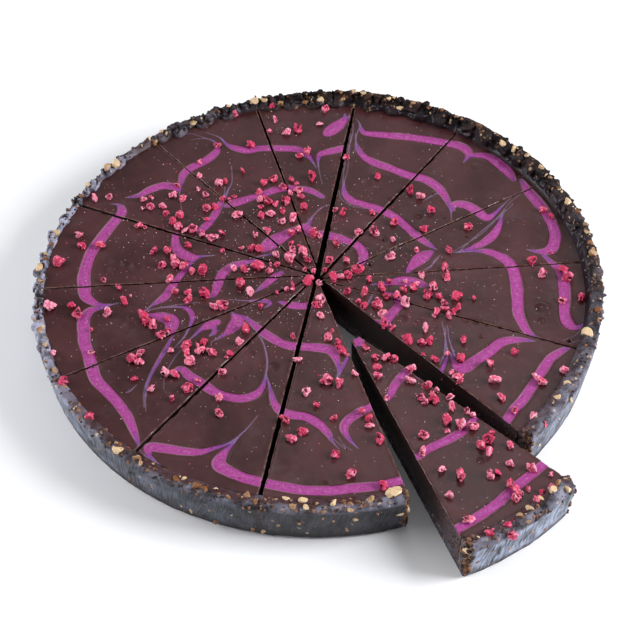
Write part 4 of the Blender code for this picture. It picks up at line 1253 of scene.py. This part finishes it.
def pressed_crumb():
    """Pressed cocoa-biscuit and nut crumb: matt, with painted shade nearly black in its hollows, grey film
    where moulded.
    """
    colours, _, _ = chosen()
    material, add, shader = new_finish("pressed_cocoa_crumb")
    home, wrap = (add("Attribute", attribute_name=name).outputs["Vector"] for name in ("home", "wrap"))
    raised, outer, band, near_cut, bloom, tan, smear, wall_light_share, end = (
        add("Attribute", attribute_name=name).outputs["Fac"]
        for name in ("raised", "outer", "band", "near_cut", "bloom", "tan", "smear", "slate", "end")
    )
    # Crumbs of about 1 mm in clods of 4.5 mm, with painted shade and light by height: nearly black in the
    # hollows, browner the higher they stand.
    clods = add("TexNoise", home, 1 / 4.5, 5, 0.7)
    height_light = add("MapRange", raised, -0.6, 0.6)
    high = add("Times", clods, height_light)
    clod_and_height_light = add("MapRange", high, 0.14, 0.4)
    brown = add("Blend", clod_and_height_light, colours.crust, colours.crust_brown)
    # Ragged toasted bits, 1.7 mm across, where the crust holds more of them.
    ragged = add("TexNoise", home, 1 / 1.5, 3)
    ragged = add("Scaled", ragged.outputs["Color"], 2.4)
    ragged = add("VectorMath", ragged, home)
    bits = add("TexVoronoi", ragged, 1 / 1.7)
    chance = add("SeparateColor", bits.outputs["Color"])
    share = add("TimesPlus", end, 1.5, tan)
    share = add("Times", share, 0.24)
    picked = add("Under", chance, share)
    solid = add("MapRange", bits.outputs["Distance"], 0.55, 0.3)
    toast = add("Times", picked, solid)
    toast = add("Times", toast, 0.8)
    golden = add("MapRange", chance.outputs[1], 0.55, 0.95)
    golden = add("Blend", golden, colours.crust_tan, colours.nut)
    toasted = add("Blend", toast, brown, golden)
    # Greyish film, in clouds of 7 mm, on what stands out and strongest on the left of the rim:
    # partly a real bloom, partly painted light on the rim's left side.
    film = add("TexNoise", home, 1 / 7, 5, 0.68)
    film_and_light = add("MapRange", film, 0.37, 0.6, 0.03, 0.88)
    film_and_light = add("Times", film_and_light, bloom)
    clear = add("MapRange", raised, -0.8, -0.1)
    film_and_light = add("Times", film_and_light, clear)
    grey = add("Blend", film_and_light, toasted, colours.film)
    # Chocolate smeared over the rim's inner half, with the same painted shade and light by height, dusted
    # with the same film and its painted light.
    smeared = add("Blend", clod_and_height_light, colours.chocolate, colours.chocolate_pale)
    dulled = add("Times", film_and_light, 0.16)
    dulled = add("Blend", dulled, smeared, colours.film)
    dulled = add("Blend", toast, dulled, golden)
    grey = add("Blend", smear, grey, dulled)
    # The moulded wall: slanted pale streaks 0.7 mm wide and 9 mm tall over dark slate, from the ring. How
    # pale it is round the tart is painted light and shade: pale and bluish, partly a painted sheen, on walls
    # that face the key and fill lights, dark on the front.
    sway = add("TexNoise", home, 1 / 16, 1)
    sway = add("Scaled", sway.outputs["Color"], 7.0)
    sway = add("VectorMath", sway, wrap)
    slant = add("Mapping", {"Vector": sway, "Rotation": (0.0, 0.0, -0.2), "Scale": (0.75, 9.0, 5.0)},
                vector_type="TEXTURE")
    streak = add("TexNoise", slant, 1, 4, 0.6)
    patch = add("TexNoise", home, 1 / 10, 5, 0.65)
    worn = add("TimesPlus", patch, 0.9, streak)
    pale = add("MapRange", worn, 0.78, 1.12)
    streaks = add("Blend", wall_light_share, colours.bloom, colours.pale_streak_and_sheen)
    under = add("Times", wall_light_share, 0.7)
    under = add("Blend", under, colours.bloom_dark, colours.bloom)
    slate = add("Blend", pale, under, streaks)
    # The wall's rough foot is nearly black.
    low = add("SeparateXYZ", wrap)
    low = add("TimesPlus", clods, 9.0, low.outputs[1])
    foot = add("MapRange", low, 11.5, 7)
    slate = add("Blend", foot, slate, colours.crust)
    few = add("Times", share, 0.4)
    few = add("Under", chance, few)
    few = add("Times", few, toast)
    specked = add("Blend", few, slate, golden)
    walled = add("Blend", outer, grey, specked)
    # The smooth band where the filling wetted the crust.
    wetted = add("Blend", band, walled, linear(WETTED))
    inside = add("Times", near_cut, 0.55)
    cut = add("Blend", inside, wetted, toasted)
    matt = add("MapRange", clods, 0.3, 0.7, 0.48, 0.85)
    filmy = add("Mix", outer, matt, 0.5)
    glossy = add("Math", band, smear, operation="MAXIMUM")
    slick = add("Mix", glossy, filmy, 0.3)
    grit = add("TexNoise", home, 1 / 0.9, 4, 0.7)
    walls = add("Mix", outer, grit, streak)
    keen = add("MapRange", band, 0, 1, 0.6, 0.1)
    bump = add("Bump", {"Strength": keen, "Distance": 0.0004, "Height": walls})
    feed(shader, {"Base Color": cut, "Roughness": slick, "Normal": bump, "Specular IOR Level": 0.25})
    return material


class TART_OT_crust(bpy.types.Operator):
    """Presses the nut and cocoa-crumb crust, one piece for each slice"""

    bl_idname = "tart.crust"
    bl_label = "Crust"

    def execute(self, context):
        finish = pressed_crumb()
        trees = press_tree(), crumble_tree()
        for number in NUMBERS:
            make_crust_slice(number, trees, finish)
        for tree in trees:
            bpy.data.node_groups.remove(tree)
        return {"FINISHED"}


# ---- scattered pieces

# How far a loose bit may lean, in radians, and where nuts are thrown at the wall from, in mm from the axis.
ANY_LEAN = 3.14
BESIDE_RIM = 170.0
# What lies lower than this, in mm, is no longer on the filling's top.
ON_TOP = 20.0
# How plainly the smooth band shows where it keeps nuts and crumbs off the rim's inner part.
BAND_SHOWS = 0.5
# Strewn crumbs stay only where they land higher than this, in mm.
STREWN_ABOVE = 22.5
# How many crumbs lie on each cut's crust end and on the filling beside it, and how many more on the crust
# end and on the face of an open cut.
END_CRUMBS, EDGE_CRUMBS, OPEN_END_CRUMBS, OPEN_FACE_CRUMBS = 9, 5, 90, 130


class Ground:
    """Where crumbs can lie: finished slices, found by dropping or throwing a point on them."""

    def __init__(self):
        self.wedges = {number: Wedge(number) for number in NUMBERS}
        depsgraph = bpy.context.evaluated_depsgraph_get()
        self.trees = {
            (name, number): BVHTree.FromObject(bpy.data.objects[f"{name}_{number:02d}"], depsgraph)
            for name in ("ganache_slice", "nut_crust") for number in NUMBERS
        }

    def slice_at(self, plan):
        return min(NUMBERS, key=lambda number: max(self.wedges[number].beyond(plan)))

    def hit(self, name, number, start, way):
        """The row-frame place and slope that a home point meets, thrown in a home direction."""
        ends = to_row(np.array((start, np.add(start, way))), number)
        way = Vector(ends[1] - ends[0]).normalized()
        return self.trees[name, number].ray_cast(Vector(ends[0]), way)[:2]

    def against(self, name, number, cut, inwards, height):
        """Thrown sideways on one of a slice's two cuts, so far inwards from the wall."""
        wedge = self.wedges[number]
        return self.hit(name, number, (*wedge.beside(cut, inwards, 5), height), (*-wedge.planes[cut][1], 0))

    def drop(self, name, plan, number=None, above=0.0):
        """Dropped from high up; nothing is hit where the piece is lower than a height."""
        hit = self.hit(name, number or self.slice_at(plan), (*plan, DROPPED_FROM), (0, 0, -1))
        return hit if hit[0] is not None and hit[0].z > above * MM else (None, None)


def unit_ball(name, subdivisions):
    """A ball's mesh and the direction of each of its vertices."""
    bm = bmesh.new()
    bmesh.ops.create_icosphere(bm, subdivisions=subdivisions, radius=1)
    mesh = bpy.data.meshes.new(name)
    bm.to_mesh(mesh)
    bm.free()
    ways = vertices_of(mesh)
    return mesh, ways / norm(ways, axis=1)[:, None]


def berry_flake(seed):
    """A crumb of dried raspberry: a few drupelets broken across, and cupped where they tore ("hollow")."""
    random = np.random.RandomState(seed)
    mesh, ways = unit_ball(f"berry_kind_{seed:02d}", 3)
    middles = random.normal(size=(random.randint(3, 6), 3))
    middles *= random.uniform(0.25, 0.5, (len(middles), 1)) / norm(middles, axis=1)[:, None]
    radii = random.uniform(0.45, 0.66, len(middles))
    ahead = ways @ middles.T
    under = ahead**2 - (middles**2).sum(axis=1) + radii**2
    lobes = np.where((under > 0) & (ahead > 0), ahead + np.sqrt(np.maximum(under, 0)), 0.3).max(axis=1)
    sides = random.normal(size=(9, 3))
    sides /= norm(sides, axis=1)[:, None]
    broken = (random.uniform(0.34, 0.66, 9) / np.maximum(ways @ sides.T, 1e-3)).min(axis=1)
    shape = np.minimum(lobes, broken)
    hollow = np.zeros(len(ways))
    for mouth in random.normal(size=(random.randint(1, 4), 3)):
        mouth /= norm(mouth)
        uneven = 0.3 * np.sin(5 * ways @ random.normal(size=3) + random.uniform(0, 6))
        near = smooth(ways @ mouth + uneven, math.cos(random.uniform(0.45, 0.85)), 1.1)
        hollow = np.maximum(hollow, near)
    shape = shape * (1 - 0.5 * hollow) * (1 + random.normal(0, 0.06, len(ways)))
    points = ways * shape[:, None] * random.uniform(0.65, 1.3, 3)
    points /= np.ptp(points, axis=0).max()
    write_vertices(mesh, points)
    store(mesh, "hollow", hollow)
    return mesh


def split_chip(name, seed, subdivisions, planes, stretch, round_off):
    """A broken bit with flat faces and worn edges, one unit long: a sphere cut by random planes."""
    random = np.random.RandomState(seed)
    mesh, ways = unit_ball(f"{name}_{seed:02d}", subdivisions)
    sides = random.normal(size=(planes, 3))
    sides /= norm(sides, axis=1)[:, None]
    gone = random.uniform(0.4, 0.85, planes)
    level = np.maximum(ways @ sides.T, 1e-3) / gone
    shape = (1 + (level**round_off).sum(axis=1)) ** (-1 / round_off)
    points = ways * shape[:, None] * (1 + random.normal(0, 0.03, (len(ways), 1))) * np.array(stretch)
    points /= np.ptp(points[:, 0])
    write_vertices(mesh, points)
    return mesh


def strew_tree(kinds):
    """Puts one kind of bit at each point, at its own size and turn, and makes them one mesh."""
    tree, add, source = new_tree("strew_bits", (("Size", "Float", 1.0), ("Material", "Material", None)))
    points, whole_size, finish = list(source.outputs)[:3]
    kind, size, shade = (add("GeometryNodeInputNamedAttribute", name, data_type=sort)
                         for name, sort in (("kind", "INT"), ("size", "FLOAT"), ("shade", "FLOAT")))
    turn = add("NamedVector", "turn")
    shelf = add("GeometryNodeCollectionInfo", kinds, True, True)
    spots = add("GeometryNodeMeshToPoints", points)
    scaled = add("Times", size, whole_size)
    bits = add("GeometryNodeInstanceOnPoints", {
        "Points": spots, "Instance": shelf, "Pick Instance": True, "Instance Index": kind, "Rotation": turn,
        "Scale": scaled,
    })
    kept = add("GeometryNodeStoreNamedAttribute", {"Geometry": bits, "Name": "shade", "Value": shade},
               data_type="FLOAT", domain="INSTANCE")
    real = add("GeometryNodeRealizeInstances", kept)
    coated = add("GeometryNodeSetMaterial", {"Geometry": real, "Material": finish})
    add("NodeGroupOutput", coated)
    return tree


def strew(name, finish, crumbs):
    """Makes one piece of many bits, each a row-frame place, a size in mm, a turn, a shade and a kind."""
    places, sizes, turns, shades, picks = (np.array(column, float) for column in zip(*crumbs.bits))
    mesh = bpy.data.meshes.new(name)
    mesh.from_pydata([tuple(p) for p in places], [], [])
    for label, values in (("size", sizes), ("turn", turns), ("shade", shades)):
        store(mesh, label, values)
    pick = mesh.attributes.new("kind", "INT", "POINT")
    pick.data.foreach_set("value", picks.astype(np.int32))
    shelf = bpy.data.collections.new("kinds")
    for kind in crumbs.kinds:
        shelf.objects.link(bpy.data.objects.new(kind.name, kind))
    tree = strew_tree(shelf)
    obj = new_object(name, mesh)
    add_modifier(obj, tree, {"Size": MM, "Material": finish})
    made = as_plain(obj, name)
    for kind in list(shelf.objects):
        bpy.data.objects.remove(kind, do_unlink=True)
    bpy.data.collections.remove(shelf)
    bpy.data.node_groups.remove(tree)
    for kind in crumbs.kinds:
        bpy.data.meshes.remove(kind)
    made.materials.clear()
    made.materials.append(finish)
    return finish_piece(new_object(name, made))


class Crumbs:
    """Bits that are laid one by one, each with its own turn and one of a few kinds of shape."""

    def __init__(self, seed, kinds):
        self.random = np.random.RandomState(seed)
        self.kinds = kinds
        self.bits = []

    def draw(self, wanted):
        """A number as it is, one from a range, or what a call gives."""
        if callable(wanted):
            return wanted()
        return self.random.uniform(*wanted) if isinstance(wanted, tuple) else wanted

    def lay(self, hit, length, shade, sink=0.0, inwards=False, lean=ANY_LEAN):
        """Lays a bit on the place and slope that were hit, sunk by a share of its length: down or inwards."""
        place, slope = hit
        if place is None:
            return
        length = self.draw(length)
        turn = (*self.random.uniform(-lean, lean, 2), self.random.uniform(0, 6.28))
        place = place - (slope if inwards else UP) * sink * length * MM
        self.bits.append((place, length, turn, self.draw(shade), self.random.randint(len(self.kinds))))


def dried_raspberry():
    """Freeze-dried raspberry: dusty, brittle and matt, frost-pale in patches, with painted light on what
    stands out and painted shade in its creases and hollows.
    """
    colours, _, _ = chosen()
    material, add, shader = new_finish("freeze_dried_raspberry")
    place = add("TexCoord").outputs["Object"]
    hollow, shade = (add("Attribute", attribute_name=name).outputs["Fac"] for name in ("hollow", "shade"))
    # Frosting in patches of 1.1 mm, more of it on some crumbs than others.
    frost = add("TexNoise", place, 1000 / 1.1, 3)
    level = add("TimesPlus", frost, 2.2, shade)
    # Partly frost, partly painted light and shade: paler on what stands out, redder in the creases.
    ridge_light_and_crease_shade = add("NewGeometry").outputs["Pointiness"]
    ridge_light_and_crease_shade = add("MapRange", ridge_light_and_crease_shade, 0.44, 0.6, -0.3, 0.4)
    level = add("Plus", level, ridge_light_and_crease_shade)
    frosted = add("MapRange", level, 1.46, 2.2)
    red = add("Blend", frosted, colours.berry, colours.berry_pale)
    # Painted shade: the cupped hollows darken towards deep berry.
    deep = add("MapRange", hollow, 0.1, 0.7)
    torn = add("Blend", deep, red, colours.berry_deep_and_shade)
    grit = add("TexNoise", place, 1000 / 0.45, 3)
    rough = add("MapRange", frost, 0, 1, 0.55, 0.85)
    bump = add("Bump", {"Strength": 0.6, "Distance": 0.0003, "Height": grit})
    feed(shader, {"Base Color": torn, "Roughness": rough, "Normal": bump, "Subsurface Weight": 0.12,
                  "Subsurface Radius": (0.0012, 0.0003, 0.0003)})
    return material


class TART_OT_berries(bpy.types.Operator):
    """Scatters the crumbs of dried raspberry over the middle of the tart"""

    bl_idname = "tart.berries"
    bl_label = "Berry crumbs"

    def execute(self, context):
        crumbs = Crumbs(41, [berry_flake(seed) for seed in range(24)])
        ground = Ground()
        for x, y, width in BERRIES:
            start = np.array(((x + CENTRE[0]) * MM, (y + CENTRE[1]) * MM, DROPPED_FROM * MM))
            for number in (DRAWN_SLICE, *NUMBERS):
                place = ground.trees["ganache_slice", number].ray_cast(Vector(start), -UP)[0]
                if place is not None:
                    break
            if place is None or place.z < ON_TOP * MM:
                place = Vector((start[0], start[1], LEVEL * MM))
            place.z += 0.3 * width * MM
            crumbs.lay((place, None), 1.15 * width, lambda: 0.75 * crumbs.random.beta(1.1, 1.6))
        strew("raspberry_crumbs", dried_raspberry(), crumbs)
        return {"FINISHED"}


def walnut():
    """Broken walnut: waxy cream flesh, brown where the skin is left on, with painted shade in its hollows."""
    colours, _, _ = chosen()
    material, add, shader = new_finish("broken_walnut")
    place = add("TexCoord").outputs["Object"]
    shade = add("Attribute", attribute_name="shade").outputs["Fac"]
    mottle = add("TexNoise", place, 1000 / 2.2, 4, 0.65)
    level = add("Plus", mottle, shade)
    skinned = add("MapRange", level, 0.62, 1.15)
    flesh = add("Blend", skinned, colours.nut, colours.nut_skin)
    # Painted shade: where the surface is hollow the flesh darkens towards the skin colour.
    edge = add("NewGeometry").outputs["Pointiness"]
    dusty = add("MapRange", edge, 0.49, 0.42, 0, 0.5)
    flesh_with_crease_shade = add("Blend", dusty, flesh, colours.nut_skin)
    rough = add("MapRange", mottle, 0, 1, 0.35, 0.6)
    fibre = add("TexNoise", place, 1000 / 0.8, 3)
    bump = add("Bump", {"Strength": 0.4, "Distance": 0.0003, "Height": fibre})
    feed(shader, {"Base Color": flesh_with_crease_shade, "Roughness": rough, "Normal": bump, "Subsurface Weight": 0.08,
                  "Subsurface Radius": (0.0012, 0.0008, 0.0004)})
    return material


def rim_spot(degrees, across):
    """A plan place on the rim: its angle, and how far across from the filling to the wall."""
    turn = math.radians(degrees)
    out = np.array((math.cos(turn), math.sin(turn)))
    from_middle = out @ INSIDE_SHIFT
    inner = from_middle + math.sqrt(FILLING_RADIUS**2 - INSIDE_SHIFT @ INSIDE_SHIFT + from_middle**2)
    return out * (inner + (RIM_RADIUS - inner) * across)


class TART_OT_nuts(bpy.types.Operator):
    """Sets the broken walnuts in the crust's rim, wall and cut ends"""

    bl_idname = "tart.nuts"
    bl_label = "Nuts"

    def execute(self, context):
        nuts = Crumbs(17, [split_chip("nut_kind", seed, 3, 10, (1, 0.8, 0.6), 30) for seed in range(10)])
        random, ground = nuts.random, Ground()
        for degrees, across, length, shade in RIM_NUTS:
            if band_share(degrees) > BAND_SHOWS:
                across = min(across + 0.3, 0.92)
            nuts.lay(ground.drop("nut_crust", rim_spot(degrees, across)), length, shade, 0.06, lean=0.5)
        for degrees, height, length, shade in WALL_NUTS:
            out = np.array((math.cos(math.radians(degrees)), math.sin(math.radians(degrees))))
            start = (*(out * BESIDE_RIM), height)
            hit = ground.hit("nut_crust", ground.slice_at(out * 138), start, (*-out, 0))
            nuts.lay(hit, length, shade, 0.18, inwards=True)
        for number, cut, inwards, height, length, shade in CUT_NUTS:
            nuts.lay(ground.against("nut_crust", number, cut, inwards, height), length, shade, 0.15,
                     inwards=True)
        for _ in range(chosen()[1].small_nuts):
            degrees = random.uniform(0, 360)
            length = random.uniform(1.1, 2.7)
            across = random.uniform(0.75 if band_share(degrees) > BAND_SHOWS else 0.15, 1)
            hit = ground.drop("nut_crust", rim_spot(degrees, across), above=23)
            if hit[0] is not None and random.uniform() < 0.35 + 0.6 * character(degrees, 1):
                nuts.lay(hit, length, lambda: random.choice((0.05, 0.2, 0.5, 0.7)), 0.15)
        strew("walnut_bits", walnut(), nuts)
        return {"FINISHED"}


def loose_crumb():
    """Loose cocoa and biscuit crumbs: dry and matt, from nearly black to toasted tan."""
    colours, _, _ = chosen()
    material, add, shader = new_finish("loose_biscuit_crumb")
    place = add("TexCoord").outputs["Object"]
    shade = add("Attribute", attribute_name="shade").outputs["Fac"]
    mottle = add("TexNoise", place, 1000 / 0.9, 3)
    jitter = add("TimesPlus", mottle, 0.5, shade)
    toast = add("MapRange", jitter, 0.75, 1.25)
    brown = add("MapRange", jitter, 0.2, 0.75)
    dark = add("Blend", brown, colours.crust, colours.crust_brown)
    coat = add("Blend", toast, dark, colours.crust_tan)
    rough = add("MapRange", mottle, 0, 1, 0.6, 0.9)
    bump = add("Bump", {"Strength": 0.5, "Distance": 0.0002, "Height": mottle})
    feed(shader, {"Base Color": coat, "Roughness": rough, "Normal": bump})
    return material


class TART_OT_crumbs(bpy.types.Operator):
    """Strews loose crumbs over the rim, on its cut ends and along the cuts"""

    bl_idname = "tart.crumbs"
    bl_label = "Crust crumbs"

    def execute(self, context):
        _, sizes, _ = chosen()
        crumbs = Crumbs(23, [split_chip("crumb_kind", seed, 2, 6, (1, 0.8, 0.7), 6) for seed in range(12)])
        random, uniform, ground = crumbs.random, crumbs.random.uniform, Ground()
        for _ in range(sizes.crust_crumbs):
            degrees = uniform(0, 360)
            across = uniform(0.6 if band_share(degrees) > BAND_SHOWS else 0, 1.02)
            hit = ground.drop("nut_crust", rim_spot(degrees, across), above=STREWN_ABOVE)
            if hit[0] is not None:
                crumbs.lay(hit, (0.5, 1.6), random.beta(1.2, 2.2) * (0.45 + 0.75 * character(degrees, 3)))
        for _ in range(sizes.front_crumbs):
            spot = rim_spot(uniform(212, 318), uniform(0.35, 0.98) ** 0.8)
            crumbs.lay(ground.drop("nut_crust", spot, above=STREWN_ABOVE), (0.7, 2.4), (0.2, 1.15), 0.2)
        for number in NUMBERS:
            for cut in (0, 1):
                wedge = ground.wedges[number]
                against = partial(ground.against, number=number, cut=cut)
                for _ in range(END_CRUMBS):
                    hit = against("nut_crust", inwards=uniform(0.5, 6), height=uniform(2, 25))
                    crumbs.lay(hit, (0.6, 1.6), (0.2, 0.9))
                for _ in range(EDGE_CRUMBS):
                    spot = wedge.beside(cut, uniform(8, 125), -uniform(0.2, 1.1))
                    hit = ground.drop("ganache_slice", spot, number, above=STREWN_ABOVE)
                    crumbs.lay(hit, (0.35, 0.9), (0.3, 0.95))
                for _ in range(OPEN_END_CRUMBS * wedge.open(cut)):
                    hit = against("nut_crust", inwards=uniform(-0.2, 6.6), height=uniform(1.8, 26))
                    crumbs.lay(hit, (0.8, 2.6), (0.25, 1.05))
                for _ in range(OPEN_FACE_CRUMBS * wedge.open(cut)):
                    inwards = 6.5 + random.exponential(13)
                    hit = against("ganache_slice", inwards=inwards, height=uniform(7.5, 22.5))
                    crumbs.lay(hit, (0.4, 1.1), (0.45, 0.85))
        for number, cut, inwards, height, length, shade in CUT_CRUMBS:
            crumbs.lay(ground.against("nut_crust", number, cut, inwards, height), length, shade)
        strew("biscuit_crumbs", loose_crumb(), crumbs)
        return {"FINISHED"}


def berry_dust():
    """Specks of berry and sugar dust: matt, from rose to nearly white."""
    colours, _, _ = chosen()
    material, add, shader = new_finish("berry_and_sugar_dust")
    place = add("TexCoord").outputs["Object"]
    shade = add("Attribute", attribute_name="shade").outputs["Fac"]
    mottle = add("TexNoise", place, 1000 / 0.3, 2)
    level = add("TimesPlus", mottle, 0.3, shade)
    pale = add("MapRange", level, 0.25, 0.95)
    coat = add("Blend", pale, colours.berry, colours.dust)
    rough = add("MapRange", mottle, 0, 1, 0.5, 0.8)
    feed(shader, {"Base Color": coat, "Roughness": rough})
    return material


class TART_OT_specks(bpy.types.Operator):
    """Strews fine specks of berry and sugar over the top, most of them on its left and middle"""

    bl_idname = "tart.specks"
    bl_label = "Specks"

    def execute(self, context):
        specks = Crumbs(31, [split_chip("speck_kind", seed, 1, 5, (1, 0.8, 0.7), 6) for seed in range(6)])
        ground = Ground()
        for share, middle, spread in ((0.45, (0, 5), 38), (0.3, (-55, 10), 45), (0.25, (0, 0), 85)):
            for _ in range(int(chosen()[1].specks * share)):
                spot = middle + specks.random.normal(0, spread, 2)
                if norm(spot - INSIDE_SHIFT) <= FILLING_RADIUS - 3.3:
                    specks.lay(ground.drop("ganache_slice", spot, above=23.2), (0.25, 0.72), (0, 1))
        strew("dust_specks", berry_dust(), specks)
        return {"FINISHED"}


# ---- stage

FLOOR_HALF = 3.0
SKY_COLOUR = "#f9faff"
LAMP_COLOUR = (0.96, 0.97, 1.0)
# The camera's place and aim in mm from the tart's centre on the floor, and how far it leans, in degrees.
CAMERA_PLACE = (0.0, -683.63, 739.43)
CAMERA_AIM = (1.2, 0.06, 0.0)
CAMERA_ROLL = -0.758
# Each light's place and aim in metres, its width and its height.
LIGHTS = {
    "key": ((1.1, -0.15, 0.65), (0, 0, 0.02), 0.6, 0.8),
    "window": ((0.06, 0.98, 1.02), (0.02, 0, 0.02), 0.5, 1.1),
    "glint": ((0.22, 0.98, 1.42), (0.07, -0.12, 0.02), 0.35, 0.4),
    "fill": ((-1.15, 0.1, 0.55), (-0.05, 0, 0.02), 1.1, 0.9),
}


class TART_OT_stage(bpy.types.Operator):
    """Sets a pale floor, soft studio light and the camera"""

    bl_idname = "tart.stage"
    bl_label = "Stage"

    def execute(self, context):
        _, _, stage = chosen()
        scene = context.scene
        mesh = bpy.data.meshes.new("floor")
        corners = [(x * FLOOR_HALF, y * FLOOR_HALF, 0) for x, y in ((-1, -1), (1, -1), (1, 1), (-1, 1))]
        mesh.from_pydata(corners, [], [(0, 1, 2, 3)])
        material, _, shader = new_finish("pale_floor")
        feed(shader, {"Base Color": stage.floor, "Roughness": 0.9})
        mesh.materials.append(material)
        new_object("floor", mesh)
        world = bpy.data.worlds.new("studio")
        world.use_nodes = True
        feed(world.node_tree.nodes["Background"], {"Color": linear(SKY_COLOUR), "Strength": stage.sky})
        scene.world = world
        for name, (place, aim, width, height) in LIGHTS.items():
            lamp = bpy.data.lights.new(name, "AREA")
            lamp.shape, lamp.size, lamp.size_y = "RECTANGLE", width, height
            lamp.energy = getattr(stage, name)
            lamp.color = LAMP_COLOUR
            obj = bpy.data.objects.new(name, lamp)
            obj.location = place
            obj.rotation_euler = (Vector(aim) - Vector(place)).to_track_quat("-Z", "Y").to_euler()
            scene.collection.objects.link(obj)
        camera = bpy.data.cameras.new("camera")
        camera.sensor_width = 36
        camera.lens = stage.lens * 1000
        camera.clip_start, camera.clip_end = 0.05, 10
        obj = bpy.data.objects.new("camera", camera)
        place, aim = ((Vector(spot) + Vector((*CENTRE, 0))) * MM for spot in (CAMERA_PLACE, CAMERA_AIM))
        turn = (aim - place).to_track_quat("-Z", "Y").to_matrix().to_4x4()
        turn = turn @ Matrix.Rotation(math.radians(CAMERA_ROLL), 4, "Z")
        obj.matrix_world = Matrix.Translation(place) @ turn
        scene.collection.objects.link(obj)
        scene.camera = obj
        scene.view_settings.view_transform = "Standard"
        return {"FINISHED"}


PIECES = (TART_OT_filling, TART_OT_crust, TART_OT_nuts, TART_OT_crumbs, TART_OT_berries, TART_OT_specks,
          TART_OT_stage)


class TART_PT_panel(bpy.types.Panel):
    bl_idname = "TART_PT_panel"
    bl_label = "Chocolate Tart"
    bl_space_type = "VIEW_3D"
    bl_region_type = "UI"
    bl_category = "Tart"

    def draw(self, context):
        for piece in PIECES:
            self.layout.operator(piece.bl_idname)
        for choices in chosen():
            box = self.layout.box()
            for name in type(choices).__annotations__:
                box.prop(choices, name)


CLASSES = (TartColours, TartSizes, StageChoices, *PIECES, TART_PT_panel)


def register():
    for each in CLASSES:
        bpy.utils.register_class(each)
    bpy.types.Scene.tart_colours = PointerProperty(type=TartColours)
    bpy.types.Scene.tart_sizes = PointerProperty(type=TartSizes)
    bpy.types.Scene.tart_stage = PointerProperty(type=StageChoices)


def unregister():
    for name in ("tart_colours", "tart_sizes", "tart_stage"):
        delattr(bpy.types.Scene, name)
    for each in reversed(CLASSES):
        bpy.utils.unregister_class(each)


def main():
    register()
    for piece in PIECES:
        area, name = piece.bl_idname.split(".")
        getattr(getattr(bpy.ops, area), name)()


if __name__ == "__main__":
    main()
